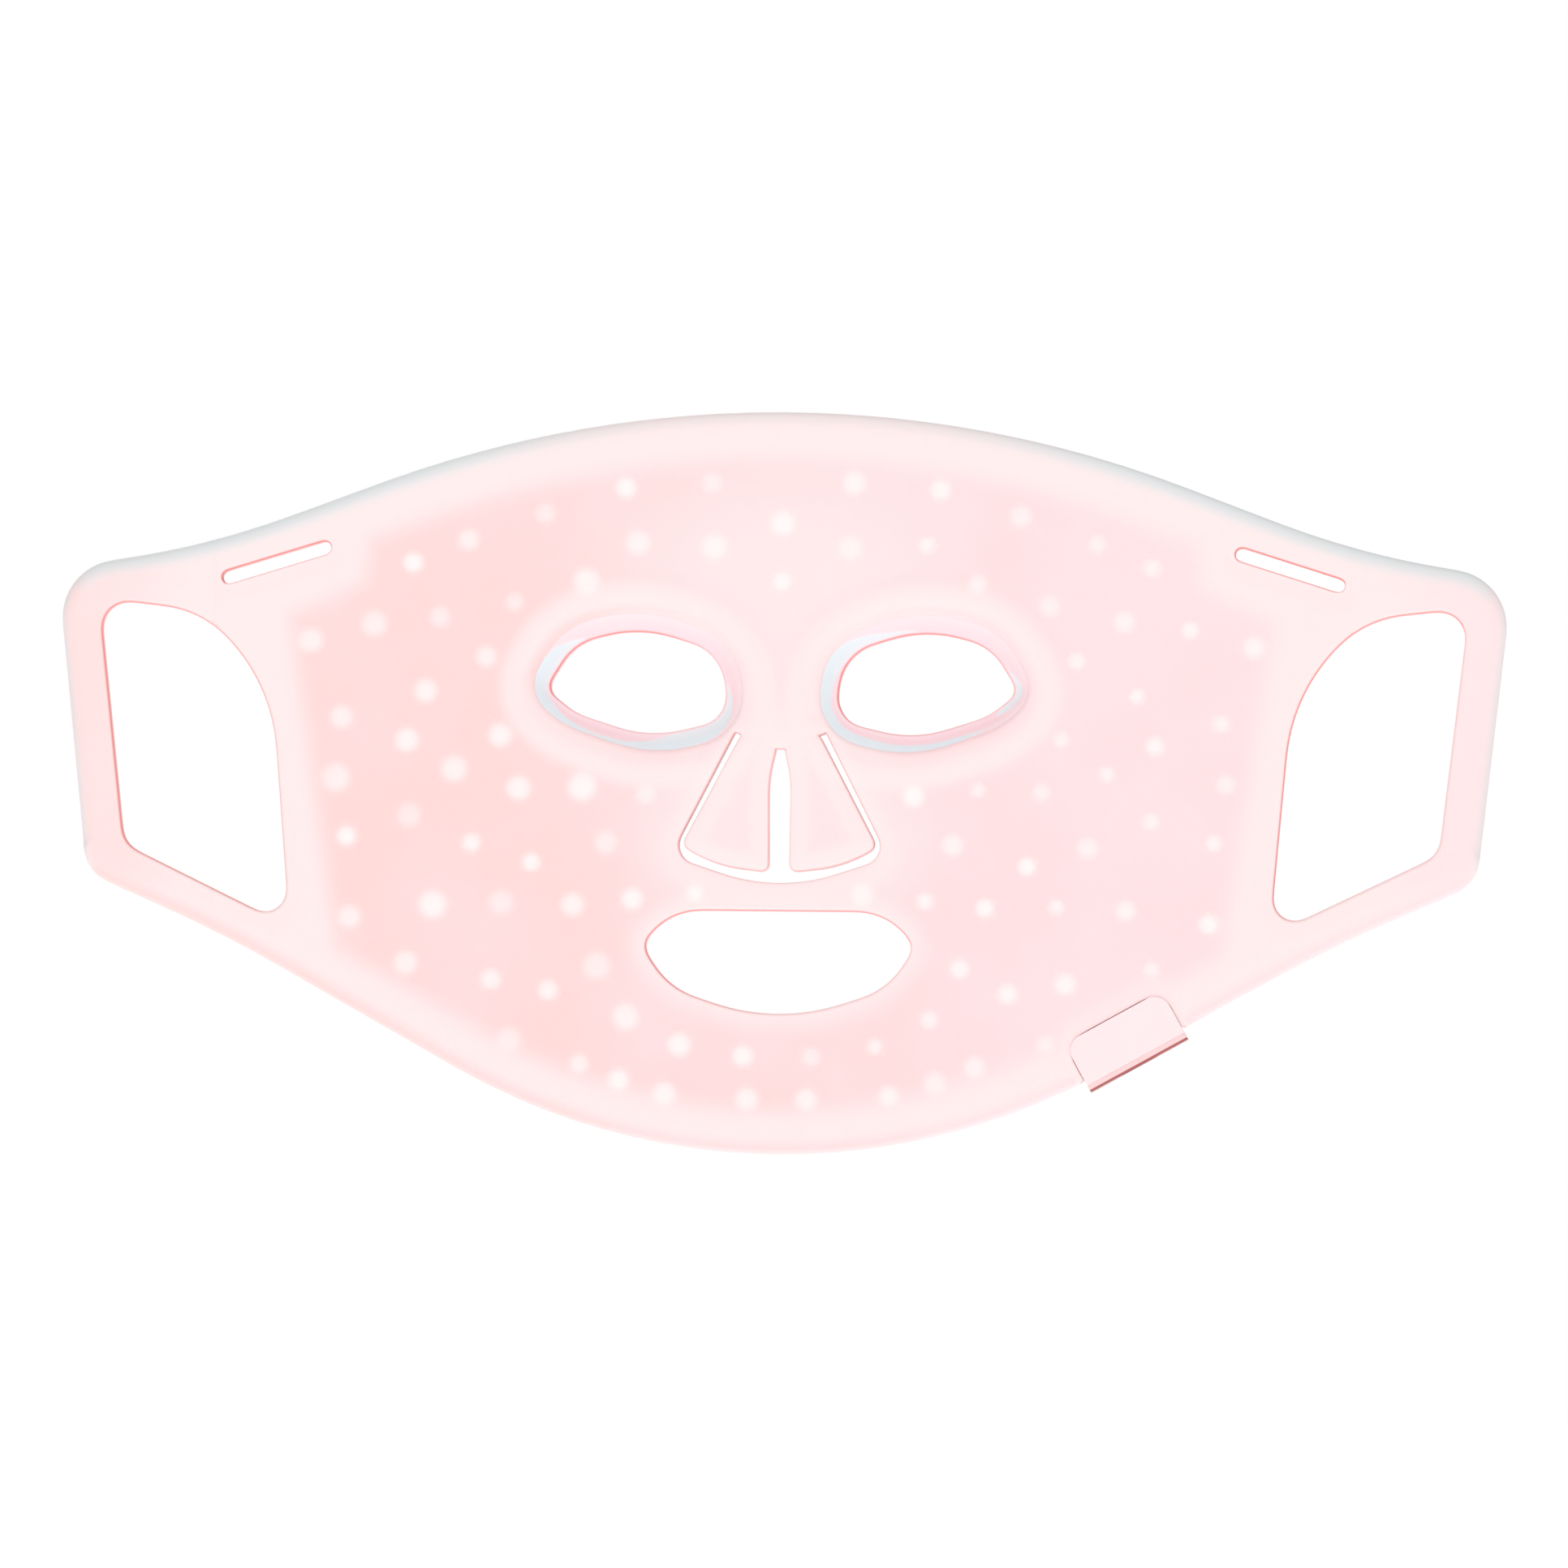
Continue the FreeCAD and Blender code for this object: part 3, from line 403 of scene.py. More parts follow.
skinMaterial = softSilicone()
shieldMaterial = shieldSilicone()
linerMaterial = clearSilicone()
plastics = {  # two screen colours that the noise runs between, and the roughness
    "portPink": ((255, 233, 235), (254, 230, 232), 0.44), "sealRed": ((226, 128, 124), (218, 118, 114), 0.6),
    "boardGreen": ((32, 92, 62), (26, 78, 52), 0.35), "chipBlack": ((30, 30, 32), (38, 38, 40), 0.5),
    "resistorBlack": ((34, 34, 37), (46, 46, 48), 0.4), "ceramicTan": ((176, 146, 110), (164, 134, 100), 0.45),
    "connectorIvory": ((235, 228, 208), (228, 220, 198), 0.4),
    "packageWhite": ((250, 247, 240), (244, 240, 231), 0.35),
}
metals = {  # screen colour and roughness
    "shellSteel": ((205, 205, 208), 0.26), "contactGold": ((232, 190, 96), 0.22),
    "solderTin": ((214, 212, 206), 0.3), "traceCopper": ((226, 168, 138), 0.35),
}
finishes = {name: plainPlastic(name, linear(*color), linear(*shade), rough)
            for name, (color, shade, rough) in plastics.items()}
finishes.update({name: plainMetal(name, linear(*color), rough) for name, (color, rough) in metals.items()})
finishes["circuitFilm"] = circuitFilm()
lensMaterial = Shader("lensClear", 0.08, linear(255, 206, 104), **{"Coat Weight": 0.6}).material
print("materials made")


sheetShape = {
    "sectionDepth": 4.4 * mm, "pocketCut": 1.2 * mm, "thick": 5.2, "pocketDeep": 3.6, "edgeStep": 0.8,
    "fineStep": 0.42, "gridStep": 1.4, "backStep": 3.0, "hingeReach": 0.3 * mm, "joinReach": 2.2 * mm,
    "loopCut": 133.6, "foldStart": 133.8, "foldEnd": 142.0, "flapBend": 3.5, "seamStep": 1.2,
    "frontRings": (0.05, 0.16, 0.34, 0.58, 0.85, 1.15, 1.6), "backRound": 0.7,
    "backRings": (0.12, 0.4, 0.8, 1.3), "backRoundThin": 0.3, "glowSeed": 7, "flapRoots": (0.95, 9.6),
    "ridgeTall": 0.6, "ridgeInner": 1.2, "ridgeTop": 5.0, "ridgeFall": 6.2, "ridgeEnd": 10.5,
    "bandTall": 0.25, "noseBand": 0.22, "lightDome": 0.16, "portNear": 1.0, "rimBand": 5.6, "footBelow": -40.0,
}
edgeRound = {"outline": 2.9, "foot": 1.3, "eye": 1.5, "mouth": 0.9, "nose": 0.55, "slot": 0.4, "side": 1.0,
             "port": 0.14}
sheetNodes = ["mask_sheet", "strap_loop_left", "strap_loop_right", "nose_flap_left", "nose_flap_right"]
hinges = {}
for name, joint in jointOf.items():  # a point on each axis and its direction, in x and z
    point, axis = np.array(joint["pos_m"]), np.array(joint["axis"])
    hinges[name] = (point[[0, 2]], axis[[0, 2]] / np.hypot(axis[0], axis[2]))


def onHinge(segment):
    return any(max(abs((p[0] - point[0]) * way[1] - (p[1] - point[1]) * way[0]) for p in segment)
               < sheetShape["hingeReach"] for point, way in hinges.values())


def nodeLoops(nodes, depth, step, minPoints=8):
    segments = [pair for node in nodes for pair in sectionSegments(node, depth) if not onHinge(pair)]
    loops = [loop for loop in chainSegments(segments, sheetShape["joinReach"]) if len(loop) > minPoints]
    loops.sort(key=lambda loop: -abs(signedArea(loop)))
    result = []
    for loop in loops:
        around = np.hypot(*np.diff(np.vstack([loop, loop[:1]]), axis=0).T).sum()
        narrow = 4 * math.pi * abs(signedArea(loop)) / around ** 2 < 0.4
        own = min(step, sheetShape["fineStep"]) if narrow else step
        result.append(resampled(loop, own * mm, passes=5) * 1000)
    return result


def kindOf(index, loop):
    centre, size = (loop.min(0) + loop.max(0)) / 2, loop.max(0) - loop.min(0)
    if index == 0:
        return "outline"
    if abs(centre[0]) > 90:
        return "slot" if size[1] < 20 else "side"
    if abs(centre[0]) > 15:
        return "eye"
    return "nose" if centre[1] > -45 else "mouth"


def crossLine(loop, at):  # adds the points where the loop crosses x = at
    out, spots = [], []
    for a, b in zip(loop, np.roll(loop, -1, axis=0)):
        out.append(a)
        if (a[0] - at) * (b[0] - at) < 0:
            spot = a + (b - a) * (at - a[0]) / (b[0] - a[0])
            spot[0] = at
            out.append(spot)
            spots.append(spot)
    return np.array(out), spots


def seamBetween(a, b, startRings, endRings, step):  # points along a straight cut, dense near both edges
    span = math.dist(a, b)
    first, last = max(startRings), span - max(endRings)
    count = max(1, int(round((last - first) / step)))
    places = [0] + list(startRings) + list(np.linspace(first, last, count + 1)[1:-1])
    places += [span - ring for ring in reversed(endRings)] + [span]
    return [a + (b - a) * place / span for place in places]


class Plan:  # a flat triangulated outline with holes, with each point's distance to the nearest edge
    def __init__(self, loops, radii, fractions, step, cuts=(), inner=(), margin=0.45):
        self.loops = loops
        edgePoints, edges, samples, sampleRadius, sampleKind = [], [], [], [], []
        rings = []
        for number, loop in enumerate(loops):
            first, count = len(edgePoints), len(loop)
            edgePoints += list(loop)
            edges += loopEdges(first, count)
            tangent = np.roll(loop, -1, axis=0) - np.roll(loop, 1, axis=0)
            tangent /= np.hypot(*tangent.T)[:, None] + 1e-12
            normal = np.stack([-tangent[:, 1], tangent[:, 0]], axis=1)
            if (signedArea(loop) < 0) == (number == 0):
                normal = -normal
            radius = radii[number]
            for i in range(count):
                a, b = loop[i], loop[(i + 1) % count]
                pieces = max(1, int(math.ceil(math.dist(a, b) / 0.2)))
                for k in range(pieces):
                    share = k / pieces
                    samples.append(a + (b - a) * share)
                    sampleRadius.append(radius[i] + (radius[(i + 1) % count] - radius[i]) * share)
                    sampleKind.append((number, normal[i]))
            for fraction in fractions:
                away = np.maximum(radius, 0.32) * fraction
                rings.append(np.hstack([loop + normal * away[:, None], away[:, None]]))
        self.tree = treeOf(samples)
        self.sampleRadius, self.sampleKind = np.array(sampleRadius), sampleKind
        ringPoints = np.vstack(rings)
        distance, _ = nearest(ringPoints[:, :2], self.tree)
        keep = distance > ringPoints[:, 2] * 0.93 - 0.004
        ringPoints = ringPoints[keep & self.inside(ringPoints[:, :2])][:, :2]
        low, high = loops[0].min(0), loops[0].max(0)
        rows = np.arange(low[1], high[1], step * 0.866)
        grid = np.array([(x + (k % 2) * step / 2, z) for k, z in enumerate(rows)
                         for x in np.arange(low[0], high[0], step)])
        grid = grid[self.inside(grid)]
        distance, index = nearest(grid, self.tree)
        grid = grid[distance > np.maximum(self.sampleRadius[index], 0.32) * max(fractions) + step * margin]
        fixed = list(edgePoints)
        for points in cuts:
            ends = [min(range(len(edgePoints)), key=lambda k: math.dist(edgePoints[k], points[w]))
                    for w in (0, -1)]
            chain = [ends[0]] + list(range(len(fixed), len(fixed) + len(points) - 2)) + [ends[1]]
            fixed += list(points[1:-1])
            edges += list(zip(chain[:-1], chain[1:]))
        for loop in inner:
            first, count = len(fixed), len(loop)
            fixed += list(loop)
            edges += loopEdges(first, count)
        loosePoints = np.vstack([ringPoints, grid])
        if len(cuts) or len(inner):  # no loose point crowds a cut
            gap, guard = nearest(loosePoints, fixed)
            loosePoints = loosePoints[(guard < len(edgePoints)) | (gap > 0.45 * min(step, 1.2))]
        everything = np.vstack([np.array(fixed), loosePoints])
        verts, _, faces, origins, _, _ = delaunay_2d_cdt([Vector(p) for p in everything.tolist()],
                                                         edges, [], 0, 1e-6)
        self.points = np.array([v[:] for v in verts])
        self.origin = [min(o) if o else -1 for o in origins]
        faces = np.array([f[:3] for f in faces])
        centres = self.points[faces].mean(1)
        self.faces = faces[self.inside(centres)]
        self.centres = self.points[self.faces].mean(1)
        self.distance, self.nearest = nearest(self.points, self.tree)
        self.radius = self.sampleRadius[self.nearest]
        self.loopIndex = np.array([self.sampleKind[k][0] for k in self.nearest])
        self.normal = np.array([self.sampleKind[k][1] for k in self.nearest])
        onEdge = np.array([0 <= o < len(edgePoints) for o in self.origin])
        self.distance[onEdge] = 0

    def inside(self, points):
        return within(points, self.loops[0], self.loops[1:])


def rounded(distance, radius):  # how far a rounded edge falls at this distance from it
    short = np.clip(radius - distance, 0, None)
    return radius - np.sqrt(np.clip(radius ** 2 - short ** 2, 0, None))


def slab(name, front, back, frontY, backY, pickFront, pickBack, material, attributes, levels=None, floorY=None,
         sharp=38):
    verts, faces, values = [], [], {key: [] for key in attributes}
    place = {}

    def vertex(key, x, y, z, source, share=1.0):
        if key not in place:
            place[key] = len(verts)
            verts.append((x * mm, y * mm, z * mm))
            for field in values:
                value = attributes[field][source] if source is not None else 0.0
                values[field].append(value * share if field == "edgeRed" else value)
        return place[key]

    border = {}
    for face in front.faces[pickFront]:
        corners = [vertex(("f", k), front.points[k][0], frontY[k], front.points[k][1], k) for k in face]
        faces.append(corners)
        for a, b in zip(face, np.roll(face, -1)):
            border[(a, b)] = border.get((a, b), 0) + 1
    rim = [edge for edge in border if (edge[1], edge[0]) not in border]
    backOf = {origin: k for k, origin in enumerate(back.origin) if origin >= 0}
    deep = levels if levels is not None else np.zeros(len(back.faces), bool)
    for number in np.flatnonzero(pickBack):
        level = bool(deep[number])
        corners = []
        for k in back.faces[number]:
            y = floorY if level else backY[k]
            corners.append(vertex(("d" if level else "b", k), back.points[k][0], y, back.points[k][1], None))
        faces.append(corners[::-1])
    step = {}
    for number in np.flatnonzero(pickBack):
        for a, b in zip(back.faces[number], np.roll(back.faces[number], -1)):
            step.setdefault((min(a, b), max(a, b)), []).append(number)
    for (a, b), users in step.items():
        if len(users) == 2 and deep[users[0]] != deep[users[1]]:
            faces.append([place[("b", a)], place[("b", b)], place[("d", b)], place[("d", a)]])
    rows = 3
    for a, b in rim:
        backA, backB = backOf[front.origin[a]], backOf[front.origin[b]]
        column = []
        for k, other in ((a, backA), (b, backB)):
            ends = (frontY[k], backY[other])
            line = [place[("f", k)]]
            for row in range(1, rows):
                y = ends[0] + (ends[1] - ends[0]) * row / rows
                line.append(vertex(("w", k, row), front.points[k][0], y, front.points[k][1], k,
                                   1 - row / rows))
            line.append(place[("b", other)])
            column.append(line)
        for row in range(rows):
            faces.append([column[0][row], column[0][row + 1], column[1][row + 1], column[1][row]])
    piece = newPiece(name, verts, faces, material, values, sharp)
    turnOutward(piece)
    return piece


def islandCentres(node):  # centre and size of each separate solid in a node, in millimetres
    work = mergedCopy(node)
    seen, found = set(), []
    for start in work.verts:
        if start in seen:
            continue
        stack, group = [start], []
        seen.add(start)
        while stack:
            v = stack.pop()
            group.append(tuple(v.co))
            for e in v.link_edges:
                other = e.other_vert(v)
                if other not in seen:
                    seen.add(other)
                    stack.append(other)
        group = np.array(group) * 1000
        found.append(((group.min(0) + group.max(0)) / 2, group.max(0) - group.min(0)))
    work.free()
    return found


lightNodes = [node for node in frame["nodes"] if node.startswith("lights_")]
lightPlaces = {node: islandCentres(node) for node in lightNodes}
allLights = np.array([centre[[0, 2]] for node in lightNodes for centre, _ in lightPlaces[node]])
print("lights found", len(allLights))


def sheetPlans():
    shape = sheetShape
    loops = nodeLoops(sheetNodes, shape["sectionDepth"], shape["edgeStep"])
    kinds = [kindOf(index, loop) for index, loop in enumerate(loops)]
    cover = np.vstack([np.linspace(a, b, 2 + int(math.dist(a, b) / (0.3 * mm)))
                       for a, b in sectionSegments("port_cover", 4.6 * mm)]) * 1000
    crossings = {}
    for index, kind in enumerate(kinds):
        if kind in ("outline", "side"):
            for at in (-shape["loopCut"], shape["loopCut"]):
                loops[index], spots = crossLine(loops[index], at)
                crossings.setdefault(at, []).extend((spot, kind) for spot in spots)
    radii = []
    for kind, loop in zip(kinds, loops):
        radius = np.full(len(loop), edgeRound[kind])
        if kind == "outline":
            distance, _ = nearest(loop, cover)
            radius[loop[:, 1] < shape["footBelow"]] = edgeRound["foot"]
            radius[distance < shape["portNear"]] = edgeRound["port"]
            for _ in range(5):
                radius = np.minimum(radius, (np.roll(radius, 1) + np.roll(radius, -1)) / 2 + 0.12)
        radii.append(radius)
    cuts = []
    ringSizes = {kind: [edgeRound[kind] * f for f in shape["frontRings"]] for kind in edgeRound}
    for at, spots in crossings.items():
        spots.sort(key=lambda pair: pair[0][1])
        for (a, kindA), (b, kindB) in (spots[:2], spots[2:]):
            cuts.append(seamBetween(a, b, ringSizes[kindA], ringSizes[kindB], shape["seamStep"]))
    nose = loops[kinds.index("nose")]
    flapArcs = {}
    for name in ("flap_lift_left", "flap_lift_right"):
        point, way = hinges[name]
        sign = -1 if name.endswith("left") else 1
        way = way * sign * np.sign(way[0]) if way[0] else way
        ends = []
        for along in shape["flapRoots"]:
            target = point * 1000 + way * along
            ends.append(int(np.argmin(np.hypot(*(nose - target).T))))
        low, high = sorted(ends)
        arc = nose[low:high + 1]
        other = np.vstack([nose[high:], nose[:low + 1]])
        lengths = [np.hypot(*np.diff(part, axis=0).T).sum() for part in (arc, other)]
        flapArcs[name.split("_")[-1]] = arc if lengths[0] < lengths[1] else other
        rings = [edgeRound["nose"] * f for f in shape["frontRings"]]
        cuts.append(seamBetween(nose[ends[0]], nose[ends[1]], rings, rings, shape["seamStep"]))
    front = Plan(loops, radii, shape["frontRings"], shape["gridStep"], cuts)
    print("front plan", len(front.points), "points", len(front.faces), "faces")
    pockets = nodeLoops(["mask_sheet"], shape["pocketCut"], 1.0)
    pockets = [loop for loop in pockets if not any(
        abs((loop.min(0) + loop.max(0)) / 2 - (other.min(0) + other.max(0)) / 2).max() < 0.6
        and abs(np.ptp(loop, axis=0) - np.ptp(other, axis=0)).max() < 2 for other in loops)]
    pockets = [loop for loop in pockets if np.ptp(loop, axis=0)[0] < 250 and abs(loop.mean(0)[0]) < 90]
    backRadii = [np.full(len(loop), shape["backRound"]) for loop in loops]
    for index, kind in enumerate(kinds):
        if kind in ("nose", "slot"):
            backRadii[index][:] = shape["backRoundThin"]
    back = Plan(loops, backRadii, shape["backRings"], shape["backStep"], cuts, pockets)
    print("back plan", len(back.points), "points", len(back.faces), "faces", "pockets", len(pockets))
    return kinds, loops, front, back, pockets, flapArcs


kinds, loops, front, back, pockets, flapArcs = sheetPlans()
panelOuter = max(pockets, key=lambda loop: abs(signedArea(loop)))
panelHoles = [loop for loop in pockets if loop is not panelOuter]


def inPanel(points):
    return within(points, panelOuter, panelHoles)


def sheetFields():  # front height and the colour fields of every front point
    shape, points = sheetShape, front.points
    kind = np.array([kinds[k] for k in front.loopIndex])
    panelEdge = gapTo(points, pockets)
    signed = np.where(inPanel(points), panelEdge, -panelEdge)
    # painted red LED glow through the silicone over the lit panel, fading at its border
    glowTint = smooth(-2.4, 5.6, signed)
    eyeGap, noseGap = (gapTo(points, [loop for name, loop in zip(kinds, loops) if name == wanted])
                       for wanted in ("eye", "nose"))
    ridge = smooth(shape["ridgeInner"], shape["ridgeTop"], eyeGap) * (
        1 - smooth(shape["ridgeFall"], shape["ridgeEnd"], eyeGap))
    inFlap = {side: insideLoop(points, arc) for side, arc in flapArcs.items()}
    onFlap = inFlap["left"] | inFlap["right"]
    band = 1 - smooth(3.0, 5.2, noseGap)
    depth = shape["thick"] - rounded(front.distance, front.radius)
    depth += shape["ridgeTall"] * ridge + shape["bandTall"] * (1 - glowTint) * smooth(1.5, 4, front.distance)
    depth += shape["noseBand"] * band * smooth(0.3, 1.4, noseGap)
    # painted LED glow on the nose flaps
    flapGlowTint = np.where(onFlap, smooth(3.2, 5.4, noseGap) * 0.75, 0)
    glowTint = np.maximum(glowTint * (1 - 0.8 * ridge), flapGlowTint)
    centreGap = np.hypot(points[:, 0] / 1.5, points[:, 1] - 22)
    pale = 0.75 * (1 - smooth(6, 42, centreGap)) + 0.5 * (1 - smooth(4, 16, noseGap))
    random = np.random.default_rng(shape["glowSeed"])
    width = (2.0 + 1.1 * random.random(len(allLights))) * (1.12 - 0.25 * smooth(-60, 60, allLights[:, 0]))
    strength = 0.55 + 0.45 * random.random(len(allLights))
    gap, index = nearest(points, allLights)
    glow = strength[index] * (1 - smooth(0.45, 1.35, gap / width[index]))
    depth += shape["lightDome"] * (1 - smooth(0.5, 1.6, gap / 1.6))
    out = -front.normal
    # painted shade on the rounded outer rim: grey-blue where it faces up and along the outer sides, weaker at
    # the middle of the top
    outer = (kind == "outline") & (front.radius > 0.9)
    lift = np.maximum(smooth(0.25, 0.95, out[:, 1]), 0.55 * smooth(0.75, 1.0, np.abs(out[:, 0])))
    lift *= 0.3 + 0.7 * smooth(25, 85, np.abs(points[:, 0]))
    reachIn = np.where(out[:, 1] > 0.5, shape["rimBand"], 2.4)
    shade = np.where(outer, lift * (1 - smooth(0.2, 1.0, front.distance / reachIn)) * 0.8, 0)
    # painted pink glow on the strap loops too
    glowTint = np.maximum(glowTint, 0.5 * smooth(138, 158, np.abs(points[:, 0])))
    # painted glow: a thin red line where the LED light reaches the cut edges of the holes, strongest on their
    # top and left walls
    port = (kind == "outline") & (front.radius < 0.3)
    hole = ((kind != "outline") & (kind != "eye")) | port
    facing = np.maximum(out[:, 0], -out[:, 1])
    strongest = np.where(kind == "nose", 0.3, np.where(kind == "outline", 0.45, 0.6))
    faintest = np.where(kind == "nose", 0.14, 0.3)
    reachIn = np.where(port, 0.16, 0.45)
    red = faintest + strongest * smooth(-0.1, 0.6, facing)
    red = np.where(hole, red * (1 - smooth(0.2, 1.0, front.distance / reachIn)), 0)
    # painted glow kept up to the bottom outer edge, and on the eye openings' rolled edges, strongest along
    # their top and right sides
    foot = np.where(outer, 0.95 * smooth(0.25, 0.8, -out[:, 1]) * (1 - smooth(0.0, 4.5, front.distance)), 0)
    rolled = 0.35 + 0.65 * smooth(-0.6, 0.5, np.maximum(-out[:, 0], -out[:, 1]))
    rolled *= 1 - smooth(0.4, 3.6, eyeGap)
    glowTint = np.maximum(np.maximum(glowTint, rolled), foot)
    return -depth, {"panelTint": glowTint, "panelPale": np.clip(pale, 0, 1), "lightGlow": glow, "rimShade": shade,
                    "edgeRed": red}


frontY, sheetValues = sheetFields()
backY = -rounded(back.distance, back.radius)
backDeep = inPanel(back.centres)
print("sheet fields made")


def sheetPiece(name, frontPick, backPick, nodes, levels=None):
    piece = slab(name, front, back, frontY, backY, frontPick, backPick, skinMaterial, sheetValues,
                 levels, -sheetShape["pocketDeep"])
    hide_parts(*nodes)
    print(name, len(piece.data.vertices), "vertices")
    return piece


frontFlap = {side: insideLoop(front.centres, arc) for side, arc in flapArcs.items()}
backFlap = {side: insideLoop(back.centres, arc) for side, arc in flapArcs.items()}
cutX = sheetShape["loopCut"]
frontLoop, backLoop = abs(front.centres[:, 0]) > cutX, abs(back.centres[:, 0]) > cutX
frontMain, backMain = ~frontLoop, ~backLoop
for side in flapArcs:
    frontMain &= ~frontFlap[side]
    backMain &= ~backFlap[side]
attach(sheetPiece("maskSkin", frontMain, backMain, ["mask_sheet"], backDeep), "mask")
for side, sign in (("left", -1), ("right", 1)):
    loopSkin = sheetPiece(side + "StrapLoop", frontLoop & (front.centres[:, 0] * sign > 0),
                          backLoop & (back.centres[:, 0] * sign > 0), ["strap_loop_" + side])
    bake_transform(loopSkin)
    flapSkin = sheetPiece(side + "NoseFlap", frontFlap[side], backFlap[side], ["nose_flap_" + side])
    point, way = hinges["flap_lift_" + side]
    across = np.array([way[1], -way[0]])
    across = across if across[1] < 0 else -across
    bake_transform(flapSkin)
print("silicone sheet made")


funnelShape = {
    "columns": 240, "holeGrow": 0.55, "frontDepth": 4.35, "lipDepth": 0.9, "lipRound": 0.55, "backReach": 5.0,
    "wall": 1.3, "slopeRows": 16, "skirtRows": 7, "underRows": 9,
}
wallShadeSectors = {  # angle, and the share of the slope where the painted shade on the funnel wall begins and ends
    "left": ((0, 0.95, 1.0), (6, 1.0, 1.0), (138, 1.0, 1.0), (148, 0.68, 1.0), (158, 0.36, 1.0),
             (172, 0.04, 1.0), (184, 0.0, 0.95), (202, 0.0, 0.62), (228, 0.0, 0.32), (255, 0.08, 0.45),
             (280, 0.1, 0.7), (304, 0.12, 1.0), (325, 0.25, 1.0), (345, 0.6, 1.0), (360, 0.95, 1.0)),
    "right": ((0, 0.6, 1.0), (10, 0.9, 1.0), (16, 1.0, 1.0), (88, 1.0, 1.0), (104, 0.9, 1.0), (126, 0.74, 1.0),
              (148, 0.42, 1.0), (164, 0.12, 1.0), (180, 0.0, 0.86), (210, 0.0, 0.66), (240, 0.05, 0.58),
              (270, 0.1, 0.58), (300, 0.18, 0.52), (318, 0.3, 0.42), (326, 0.5, 0.5), (334, 0.8, 0.8),
              (342, 0.6, 1.0), (360, 0.6, 1.0)),
}
edgeWeights = {  # angle and how strong the painted red edge glow is there
    "left": ((0, 0.3), (35, 0.75), (60, 1), (190, 1), (215, 0.4), (350, 0.3), (360, 0.3)),
    "right": ((0, 0.6), (30, 0.9), (60, 1), (200, 1), (225, 0.7), (330, 0.5), (360, 0.6)),
}


def ringFaces(first, second):
    count = len(first)
    return [[first[i], first[(i + 1) % count], second[(i + 1) % count], second[i]] for i in range(count)]


def polarRadius(loop, centre, angles):
    offset = loop - centre
    own = np.degrees(np.arctan2(offset[:, 1], offset[:, 0])) % 360
    order = np.argsort(own)
    return np.interp(angles, own[order], np.hypot(*offset.T)[order], period=360)


